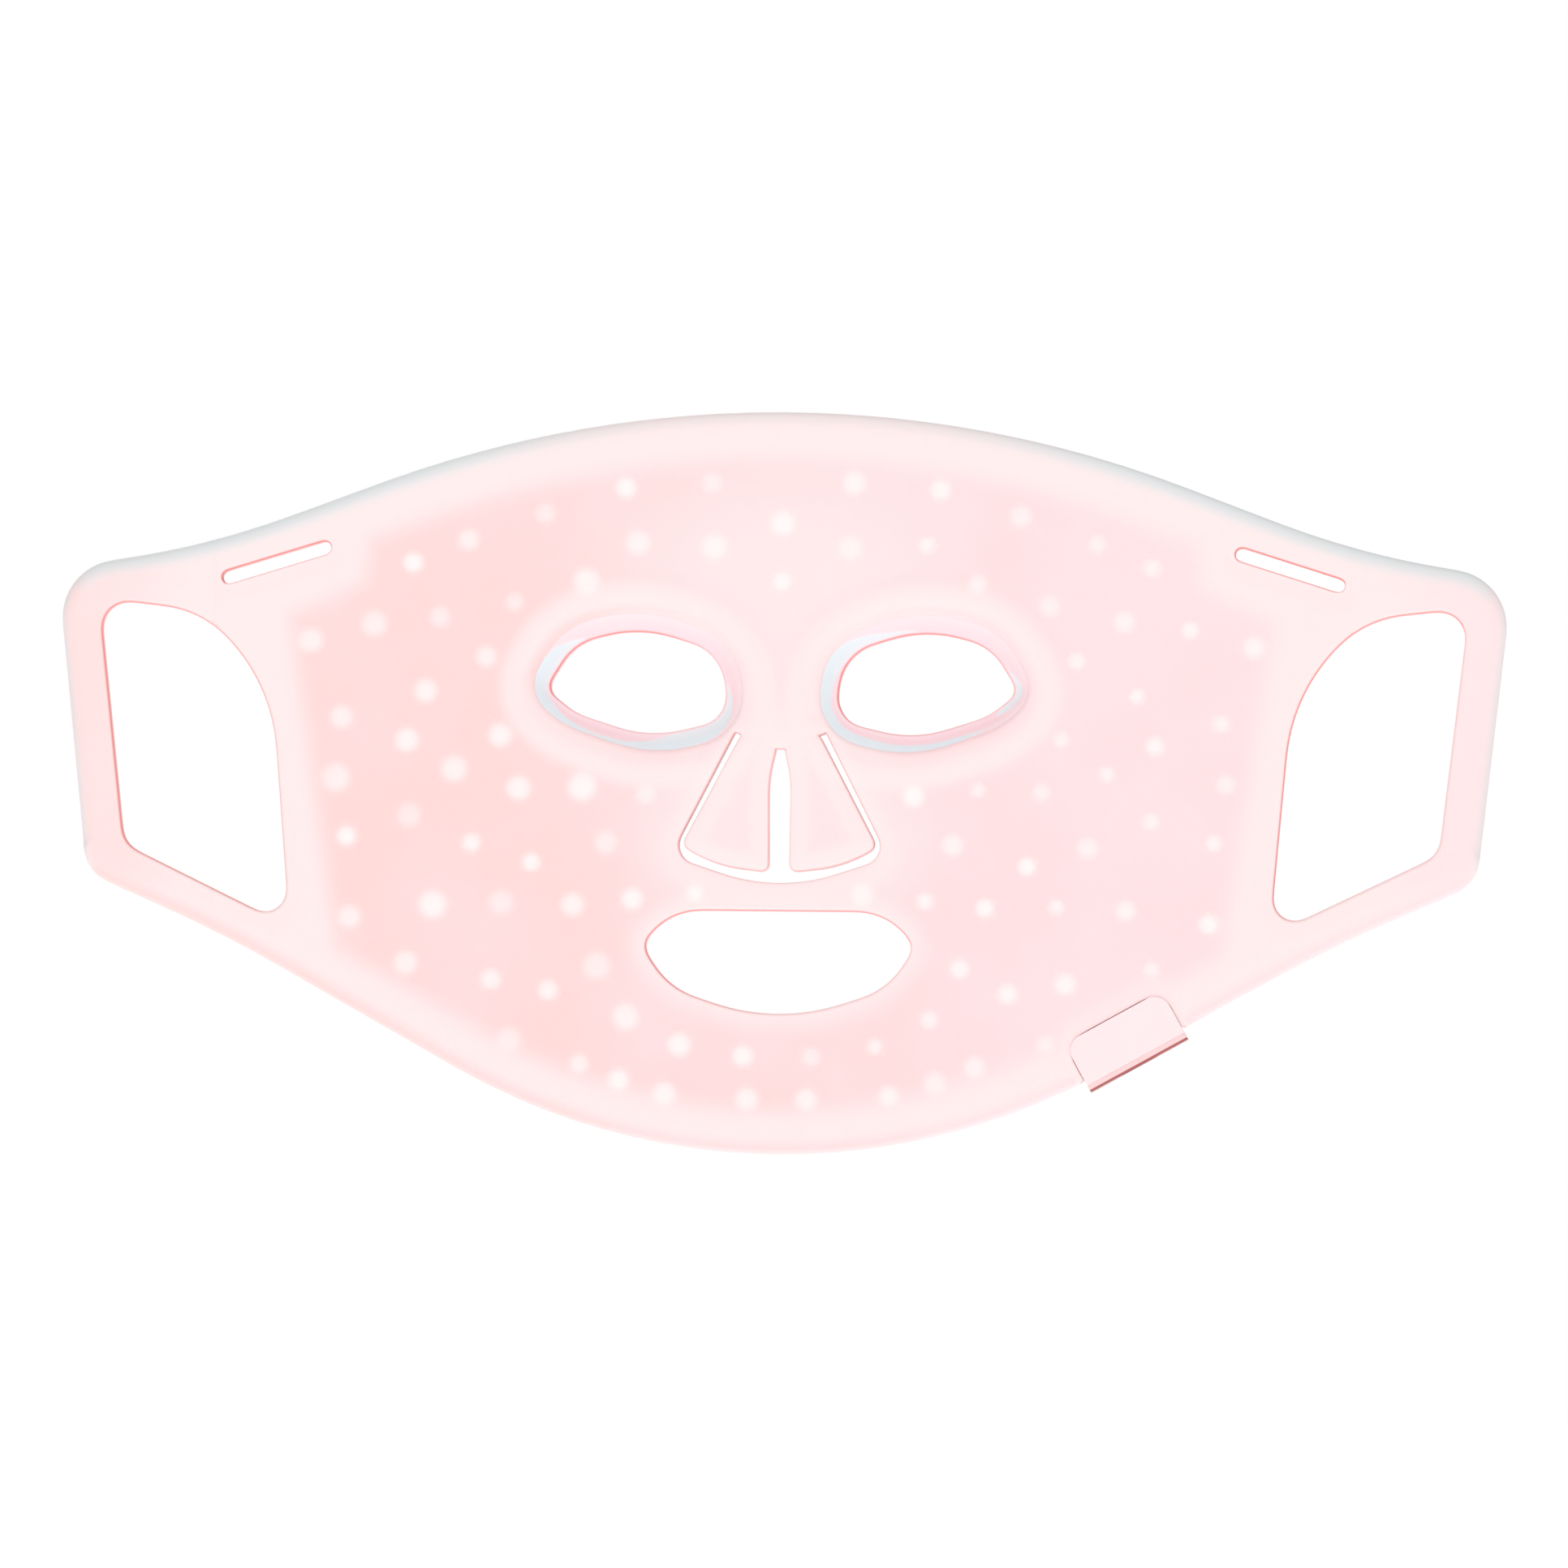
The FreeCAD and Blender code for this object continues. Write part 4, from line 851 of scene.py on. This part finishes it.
def eyeFunnel(side):
    shape = funnelShape
    inner = min(nodeLoops(["eye_shield_" + side], -4.5 * mm, 0.5), key=lambda loop: abs(signedArea(loop)))
    centre = (inner.min(0) + inner.max(0)) / 2
    opening = min((loop for kind, loop in zip(kinds, loops) if kind == "eye"),
                  key=lambda loop: math.dist(loop.mean(0), centre))
    angles = np.arange(shape["columns"]) * 360 / shape["columns"]
    ways = np.stack([np.cos(np.radians(angles)), np.sin(np.radians(angles))], axis=1)
    holeR = polarRadius(inner, centre, angles) + shape["holeGrow"]
    openR = polarRadius(opening, centre, angles) + 0.9
    sectors = np.array(wallShadeSectors[side], float)
    coolStart = np.interp(angles, sectors[:, 0], sectors[:, 1])
    coolStop = np.interp(angles, sectors[:, 0], sectors[:, 2])
    rows, cool, rose, red = [], [], [], []

    def row(radius, y, coolWeight, roseWeight, redWeight):
        ring = centre + ways * radius[:, None]
        rows.append(np.stack([ring[:, 0], np.full(len(ring), y), ring[:, 1]], axis=1))
        cool.append(coolWeight * np.ones(len(ring)))
        rose.append(roseWeight * np.ones(len(ring)))
        red.append(redWeight * np.ones(len(ring)))

    def slopeY(u):
        fall = shape["frontDepth"] - shape["lipDepth"]
        return -shape["frontDepth"] + fall * (0.25 * u + 0.75 * smooth(0, 1, u))

    width = np.clip(coolStop - coolStart, 0, None)
    # painted LED glow: the rose on the slope and lip is stronger towards the top of each eye
    up = smooth(-0.35, 0.35, ways[:, 1])
    for u in np.linspace(0, 1, shape["slopeRows"]):
        weight = smooth(-0.06, 0.06, u - coolStart) * (1 - smooth(-0.08, 0.08, u - coolStop))
        weight *= smooth(0.0, 0.12, width)
        low = smooth(0.35, 0.62, u) * (1 - 0.45 * smooth(0.75, 1.0, u))
        high = 0.25 + 0.6 * smooth(0.2, 1.0, u)
        row(openR + (holeR + shape["lipRound"] - openR) * u, slopeY(u), weight * (1 - 0.25 * smooth(0.5, 1, u)),
            (low * (1 - up) + high * up) * (1 - weight), 0)
    edge = np.interp(angles, *np.array(edgeWeights[side], float).T)
    for turn in (30, 60, 90):
        a = math.radians(turn)
        row(holeR + shape["lipRound"] * (1 - math.sin(a)),
            -shape["lipDepth"] + shape["lipRound"] * (1 - math.cos(a)), 0, 0.5,
            edge * (0.35 if turn == 30 else 1.0))
    for t in np.linspace(0.15, 1, shape["skirtRows"]):
        y = -shape["lipDepth"] + shape["lipRound"] + (shape["backReach"] + shape["lipDepth"]
                                                      - shape["lipRound"] - 0.3) * t
        row(holeR, y, 0.2, 0.3, edge * (1 - t) * 0.8)
    row(holeR + 0.3, shape["backReach"], 0.2, 0, 0)
    row(holeR + shape["wall"] - 0.3, shape["backReach"], 0.2, 0, 0)
    for t in np.linspace(0, 1, shape["skirtRows"]):
        row(holeR + shape["wall"], shape["backReach"] - 0.3 - (shape["backReach"] - 0.7) * t, 0, 0, 0)
    for u in np.linspace(0.85, 0.0, shape["underRows"]):
        row(openR + (holeR + shape["wall"] - openR) * u, min(slopeY(u) + shape["wall"], 0.3), 0, 0, 0)
    count, columns = len(rows), shape["columns"]
    rings = [list(range(r * columns, (r + 1) * columns)) for r in range(count)]
    faces = [face for r in range(count) for face in ringFaces(rings[r], rings[(r + 1) % count])]
    funnel = newPiece(side + "EyeFunnel", np.vstack(rows) * mm, faces, shieldMaterial,
                      {"coolWall": np.concatenate(cool), "lipRose": np.concatenate(rose),
                       "edgeRed": np.concatenate(red)}, 50)
    turnOutward(funnel)
    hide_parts("eye_shield_" + side)
    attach(funnel, "mask")


for side in ("left", "right"):
    eyeFunnel(side)
print("eye funnels made")


linerShape = {"step": 1.0, "grid": 2.2, "round": 0.45, "rings": (0.2, 0.6, 1.0), "front": 2.3,
              "backFace": 0.05, "domeTall": 0.45, "domeWide": 2.6}


def makeLiner():
    shape = linerShape
    outlines = nodeLoops(["face_liner"], 1.0 * mm, shape["step"])
    radii = [np.full(len(loop), shape["round"]) for loop in outlines]
    plan = Plan(outlines, radii, shape["rings"], shape["grid"] * 0.62)
    behind = Plan(outlines, radii, shape["rings"], shape["grid"] * 2)
    gap, _ = nearest(plan.points, allLights)
    domes = shape["domeTall"] * np.sqrt(np.clip(1 - (gap / shape["domeWide"]) ** 2, 0, 1)) ** 1.5
    faceY = -shape["backFace"] - rounded(plan.distance, plan.radius) + domes
    everyFace, everyBehind = np.ones(len(plan.faces), bool), np.ones(len(behind.faces), bool)
    liner = slab("faceLiner", plan, behind, faceY, np.full(len(behind.points), -shape["front"]), everyFace,
                 everyBehind, linerMaterial, {})
    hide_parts("face_liner")
    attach(liner, "mask")


makeLiner()
print("liner made")


packageShape = {"side": 2.8, "low": -3.3, "top": -2.62, "chamfer": 0.22, "cup": 1.02, "dome": 0.2,
                "round": 12}
resistorShape = {"long": 1.6, "wide": 0.85, "low": -3.3, "top": -2.86, "cap": 0.32}


def packageMesh():  # white body with clipped corners, round cup, clear dome
    shape = packageShape
    half, clip = shape["side"] / 2, shape["chamfer"]
    corners = [(half, -half + clip), (half, half - clip), (half - clip, half), (-half + clip, half),
               (-half, half - clip), (-half, -half + clip), (-half + clip, -half), (half - clip, -half)]
    tall = shape["top"] - shape["low"]
    verts, faces = [], []

    def ring(points, y):
        first = len(verts)
        verts.extend([(x * mm, y * mm, z * mm) for x, z in points])
        return list(range(first, len(verts)))

    angles = [2 * math.pi * k / shape["round"] for k in range(shape["round"])]
    low = ring(corners, 0)
    high = ring(corners, tall - 0.12)
    top = ring([(x * 0.93, z * 0.93) for x, z in corners], tall)
    cup = ring([(shape["cup"] * math.cos(a), shape["cup"] * math.sin(a)) for a in angles], tall)
    rise = ring([(shape["cup"] * 0.6 * math.cos(a), shape["cup"] * 0.6 * math.sin(a)) for a in angles],
                tall + shape["dome"] * 0.75)
    tip = ring([(0, 0)], tall + shape["dome"])
    faces += [low[::-1]] + ringFaces(low, high) + ringFaces(high, top)
    for k in range(shape["round"]):  # the flat top between the eight corners and the round cup
        a, b = k * 8 // shape["round"], (k + 1) * 8 // shape["round"]
        faces.append([cup[k], top[a % 8], cup[(k + 1) % shape["round"]]])
        if a != b:
            faces.append([top[a % 8], top[b % 8], cup[(k + 1) % shape["round"]]])
    slots = [0] * len(faces)
    domeFaces = ringFaces(cup, rise) + [[rise[i], rise[(i + 1) % len(rise)], tip[0]] for i in range(len(rise))]
    faces += domeFaces
    slots += [1] * len(domeFaces)
    for sign in (-1, 1):  # a solder pad under each end
        pad = [(sign * (half - 0.35), -0.95), (sign * (half + 0.42), -0.95), (sign * (half + 0.42), 0.95),
               (sign * (half - 0.35), 0.95)]
        under, over = ring(pad, 0.0), ring(pad, 0.09)
        faces += [under[::-1], over] + ringFaces(under, over)
        slots += [2] * 6
    return verts, faces, slots


def resistorMesh():  # black body between two metal caps
    shape = resistorShape
    tall = shape["top"] - shape["low"]
    marks = [-shape["long"] / 2, -shape["long"] / 2 + shape["cap"], shape["long"] / 2 - shape["cap"],
             shape["long"] / 2]
    verts, faces, slots = [], [], []
    rows = []
    for k, x in enumerate(marks):
        for grow in ((0, -0.05) if k in (1, 2) else (0,)):
            half = shape["wide"] / 2 + grow
            first = len(verts)
            verts.extend([(x * mm, 0, -half * mm), (x * mm, 0, half * mm),
                          (x * mm, (tall + grow) * mm, half * mm), (x * mm, (tall + grow) * mm, -half * mm)])
            rows.append(list(range(first, first + 4)))
    rows = [rows[k] for k in (0, 1, 2, 4, 3, 5)]
    faces.append(rows[0][::-1])
    slots.append(1)
    for k in range(5):
        faces += ringFaces(rows[k], rows[k + 1])
        slots += [0 if k == 2 else 1] * 4
    faces.append(rows[-1])
    slots.append(1)
    return verts, faces, slots


def partObject(name, shape):  # the shape that is repeated, with each face's finish as a number
    verts, faces, numbers = shape
    mesh = bpy.data.meshes.new(name)
    mesh.from_pydata(verts, [], faces)
    mesh.attributes.new("finish", "INT", "FACE").data.foreach_set("value", numbers)
    made = inScene(name, mesh)
    turnOutward(made)
    return made


def placingTree(name, template, materials):  # the template on every point, turned by its "turn" value
    tree = bpy.data.node_groups.new(name, "GeometryNodeTree")
    tree.interface.new_socket("Geometry", in_out="INPUT", socket_type="NodeSocketGeometry")
    size = tree.interface.new_socket("partScale", in_out="INPUT", socket_type="NodeSocketFloat")
    jitter = tree.interface.new_socket("turnJitter", in_out="INPUT", socket_type="NodeSocketFloat")
    tree.interface.new_socket("Geometry", in_out="OUTPUT", socket_type="NodeSocketGeometry")

    def add(kind, **settings):
        node = tree.nodes.new(kind)
        for key, value in settings.items():
            setattr(node, key, value)
        return node

    link = tree.links.new
    start, end = add("NodeGroupInput"), add("NodeGroupOutput")
    toPoints = add("GeometryNodeMeshToPoints")
    info = add("GeometryNodeObjectInfo")
    info.inputs["Object"].default_value = template
    place = add("GeometryNodeInstanceOnPoints")
    turn = add("GeometryNodeInputNamedAttribute", data_type="FLOAT")
    turn.inputs["Name"].default_value = "turn"
    random = add("FunctionNodeRandomValue", data_type="FLOAT")
    random.inputs["Seed"].default_value = 11
    low = add("ShaderNodeMath", operation="MULTIPLY")
    low.inputs[1].default_value = -1
    turned = add("ShaderNodeMath", operation="ADD")
    spin = add("ShaderNodeCombineXYZ")
    real = add("GeometryNodeRealizeInstances")
    finish = add("GeometryNodeInputNamedAttribute", data_type="INT")
    finish.inputs["Name"].default_value = "finish"
    for output, target in (
            (start.outputs["Geometry"], toPoints.inputs["Mesh"]), (start.outputs["turnJitter"], low.inputs[0]),
            (low.outputs[0], random.inputs[2]), (start.outputs["turnJitter"], random.inputs[3]),
            (turn.outputs[0], turned.inputs[0]), (random.outputs[1], turned.inputs[1]),
            (turned.outputs[0], spin.inputs["Y"]), (toPoints.outputs["Points"], place.inputs["Points"]),
            (info.outputs["Geometry"], place.inputs["Instance"]),
            (spin.outputs["Vector"], place.inputs["Rotation"]),
            (start.outputs["partScale"], place.inputs["Scale"]),
            (place.outputs["Instances"], real.inputs["Geometry"])):
        link(output, target)
    last = real.outputs["Geometry"]
    for number, material in enumerate(materials):
        same = add("FunctionNodeCompare", data_type="INT", operation="EQUAL")
        link(finish.outputs[0], same.inputs[2])
        same.inputs[3].default_value = number
        setMaterial = add("GeometryNodeSetMaterial")
        setMaterial.inputs["Material"].default_value = material
        link(same.outputs[0], setMaterial.inputs["Selection"])
        link(last, setMaterial.inputs["Geometry"])
        last = setMaterial.outputs["Geometry"]
    link(last, end.inputs["Geometry"])
    return tree, {"partScale": size.identifier, "turnJitter": jitter.identifier}


def placedParts(name, node, template, materials, low, jitter):
    places = islandCentres(node)
    seeds = bpy.data.meshes.new(name + "Seeds")
    seeds.from_pydata([(c[0] * mm, low * mm, c[2] * mm) for c, _ in places], [], [])
    turns = seeds.attributes.new("turn", "FLOAT", "POINT")
    turns.data.foreach_set("value", [math.pi / 2 if size[2] > size[0] * 1.15 else 0.0 for _, size in places])
    carrier = inScene(name + "Seeds", seeds)
    tree, sockets = placingTree(name + "Places", template, materials)
    modifier = carrier.modifiers.new("places", "NODES")
    modifier.node_group = tree
    modifier[sockets["partScale"]] = 1.0
    modifier[sockets["turnJitter"]] = jitter
    evaluated = carrier.evaluated_get(bpy.context.evaluated_depsgraph_get())
    mesh = bpy.data.meshes.new_from_object(evaluated)
    mesh.name = name
    bpy.data.objects.remove(carrier)
    mesh.set_sharp_from_angle(angle=math.radians(30))
    return inScene(name, mesh)


lightTemplate = partObject("lightTemplate", packageMesh())
lightFinishes = [finishes["packageWhite"], lensMaterial, finishes["solderTin"]]
resistorTemplate = partObject("resistorTemplate", resistorMesh())
resistorFinishes = [finishes["resistorBlack"], finishes["shellSteel"]]
for node in lightNodes:
    zone = "".join(word.capitalize() for word in node.split("_")[1:])
    piece = placedParts("lightPackages" + zone, node, lightTemplate, lightFinishes, packageShape["low"], 0.03)
    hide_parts(node)
    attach(piece, "mask")
for side in ("left", "right"):
    piece = placedParts(side + "Resistors", "resistors_" + side, resistorTemplate, resistorFinishes,
                        resistorShape["low"], 0.04)
    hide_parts("resistors_" + side)
    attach(piece, "mask")
for template in (lightTemplate, resistorTemplate):
    bpy.data.objects.remove(template)
print("light packages and resistors placed")


trackShape = {"wide": 0.42, "apart": 0.95, "low": -3.3, "high": -3.26, "longest": 36.0, "sample": 1.0}


def trackLinks():  # the shortest tree that joins all the lights over ground the circuit covers
    count = len(allLights)
    waiting, done, links = {}, {0}, []

    def clear(a, b):
        steps = max(2, int(math.dist(a, b) / trackShape["sample"]))
        return inPanel(a + (b - a) * np.linspace(0, 1, steps)[:, None]).all()

    def offer(number):
        for other in range(count):
            gap = math.dist(allLights[number], allLights[other])
            if other not in done and gap < trackShape["longest"] and gap < waiting.get(other, (1e9,))[0]:
                if clear(allLights[number], allLights[other]):
                    waiting[other] = (gap, number)

    offer(0)
    while waiting:
        nextLight = min(waiting, key=lambda k: waiting[k][0])
        gap, source = waiting.pop(nextLight)
        links.append((source, nextLight))
        done.add(nextLight)
        offer(nextLight)
    return links


def makeTracks():
    shape = trackShape
    verts, faces = [], []
    for a, b in trackLinks():
        start, end = allLights[a], allLights[b]
        along = (end - start) / math.dist(start, end)
        side = np.array([-along[1], along[0]])
        for lane in (-shape["apart"] / 2, shape["apart"] / 2):
            first = len(verts)
            for y in (shape["low"], shape["high"]):
                for point, edge in ((start, -0.5), (end, -0.5), (end, 0.5), (start, 0.5)):
                    spot = point + side * (lane + edge * shape["wide"])
                    verts.append((spot[0] * mm, y * mm, spot[1] * mm))
            low, high = list(range(first, first + 4)), list(range(first + 4, first + 8))
            faces += [low, high[::-1]] + ringFaces(low, high)
    tracks = newPiece("circuitTracks", verts, faces, finishes["traceCopper"])
    turnOutward(tracks)
    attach(tracks, "mask")
    print("circuit tracks", len(faces) // 12, "links")


makeTracks()


keptFinish = {
    "flex_circuit": "circuitFilm", "circuit_tail": "circuitFilm", "port_case": "portPink",
    "port_cover": "portPink", "port_seal": "sealRed", "port_lip": "portPink", "port_board": "boardGreen",
    "socket_shell": "shellSteel", "socket_tongue": "chipBlack", "socket_contacts": "contactGold",
    "driver_chip": "chipBlack", "port_capacitors": "ceramicTan", "tail_connector": "connectorIvory",
    "port_screw_left": "shellSteel", "port_screw_right": "shellSteel",
}
softEdges = {"port_case": 0.25, "port_cover": 0.2, "port_lip": 0.12, "driver_chip": 0.08,
             "port_capacitors": 0.06, "tail_connector": 0.08, "port_screw_left": 0.08, "port_screw_right": 0.08,
             "socket_shell": 0.1}
for node, finish in keptFinish.items():
    kept = frame["nodes"][node]
    kept.data.materials.clear()
    kept.data.materials.append(finishes[finish])
    if node in softEdges:
        weld = kept.modifiers.new("weld", "WELD")
        weld.merge_threshold = 1e-6
        bevel = kept.modifiers.new("softEdge", "BEVEL")
        bevel.width = softEdges[node] * mm
        bevel.segments = 3
        bevel.limit_method = "ANGLE"
        bevel.angle_limit = math.radians(35)
        bevel.harden_normals = False
lipLook = {"lineStart": 0.62 * mm, "lineFull": 0.42 * mm, "band": linear(254, 216, 216),
           "bandWorn": linear(252, 210, 211), "line": linear(176, 92, 92)}
lip = np.array([v.co[:] for v in frame["nodes"]["port_lip"].data.vertices])[:, [0, 2]]
along = np.linalg.eigh(np.cov((lip - lip.mean(0)).T))[1][:, 1]
outward = np.array([along[1], -along[0]])
outward = outward if outward @ lip.mean(0) > 0 else -outward
lipReach = float((lip @ outward).max())


def lipPlastic():  # rose band that ends in a dark line along its outer edge
    s = Shader("lipPlastic", 0.45)
    dot = s.node("ShaderNodeVectorMath", operation="DOT_PRODUCT")
    dot.inputs[1].default_value = (float(outward[0]), 0, float(outward[1]))
    s.join(s.place, dot.inputs[0])
    line = s.spread(dot.outputs["Value"], lipReach - lipLook["lineStart"], lipReach - lipLook["lineFull"],
                    "From")
    worn = s.ramp(s.noise(500, 3), (0.3, lipLook["band"]), (0.7, lipLook["bandWorn"]))
    s.color(s.mix(line, worn, lipLook["line"]))
    s.roughness(s.noise(400, 2), 0.4, 0.52)
    s.bump(s.noise(900, 3), 0.02 * mm, 0.4)
    return s.material


frame["nodes"]["port_lip"].data.materials[0] = lipPlastic()
print("kept pieces finished")


stageSizes = {"floorHalf": 30.0, "floorDown": 0.26, "ambient": 0.58, "floorGlow": 0.5}


def makeStage():
    sizes = stageSizes
    half, low = sizes["floorHalf"], -sizes["floorDown"]
    mesh = bpy.data.meshes.new("floor")
    mesh.from_pydata([(-half, -half, low), (half, -half, low), (half, half, low), (-half, half, low)], [],
                     [(0, 1, 2, 3)])
    floor = inScene("floor", mesh)
    paper = Shader("floorPaper", 0.9, (0.93, 0.93, 0.93, 1), **{"Emission Color": (1, 1, 1, 1),
                                                                "Emission Strength": sizes["floorGlow"]})
    mesh.materials.append(paper.material)
    world = bpy.data.worlds.new("studio")
    world.use_nodes = True
    bpy.context.scene.world = world
    tree = world.node_tree
    background = tree.nodes["Background"]
    background.inputs["Color"].default_value = (1, 1, 1, 1)
    path = tree.nodes.new("ShaderNodeLightPath")
    strength = tree.nodes.new("ShaderNodeMapRange")
    strength.inputs["To Min"].default_value = sizes["ambient"]
    strength.inputs["To Max"].default_value = 1.0
    tree.links.new(path.outputs["Is Camera Ray"], strength.inputs["Value"])
    tree.links.new(strength.outputs["Result"], background.inputs["Strength"])


def areaLight(name, place, target, size, power, color=(1, 1, 1)):
    data = bpy.data.lights.new(name, "AREA")
    data.shape, data.size, data.energy, data.color = "DISK", size, power, color
    lamp = inScene(name, data)
    lamp.location = place
    lamp.visible_camera = False
    lamp.rotation_euler = (Vector(target) - Vector(place)).to_track_quat("-Z", "Y").to_euler()


cameraShape = {"lens": 312.6, "azimuth": 3.5, "elevation": -2.5, "roll": 0.65, "distance": 3.2,
               "aim": (0.0008, -0.002, -0.0238)}


def makeCamera():
    shape = cameraShape
    data = bpy.data.cameras.new("frontCamera")
    data.lens, data.sensor_width = shape["lens"], 36.0
    camera = inScene("frontCamera", data)
    aim = Vector(shape["aim"])
    azimuth, elevation = math.radians(shape["azimuth"]), math.radians(shape["elevation"])
    way = Vector((math.sin(azimuth) * math.cos(elevation), -math.cos(azimuth) * math.cos(elevation),
                  math.sin(elevation)))
    camera.location = aim + way * shape["distance"]
    turn = (-way).to_track_quat("-Z", "Y").to_matrix().to_4x4()
    camera.rotation_euler = (turn @ Matrix.Rotation(math.radians(shape["roll"]), 4, "Z")).to_euler()
    bpy.context.scene.camera = camera


makeStage()
areaLight("frontSoftbox", (-0.35, -1.5, 0.35), (0, 0, -0.02), 0.9, 2.55)
areaLight("fillSoftbox", (0.9, -1.2, -0.1), (0, 0, -0.02), 0.9, 1.35)
areaLight("topSoftbox", (0.1, -0.45, 1.3), (0, 0, -0.02), 0.9, 2.7)
areaLight("backSoftbox", (-0.5, 1.3, 0.6), (0, 0, -0.02), 0.8, 3.0)
makeCamera()
bpy.context.scene.view_settings.view_transform = "Standard"
print("stage and camera set")
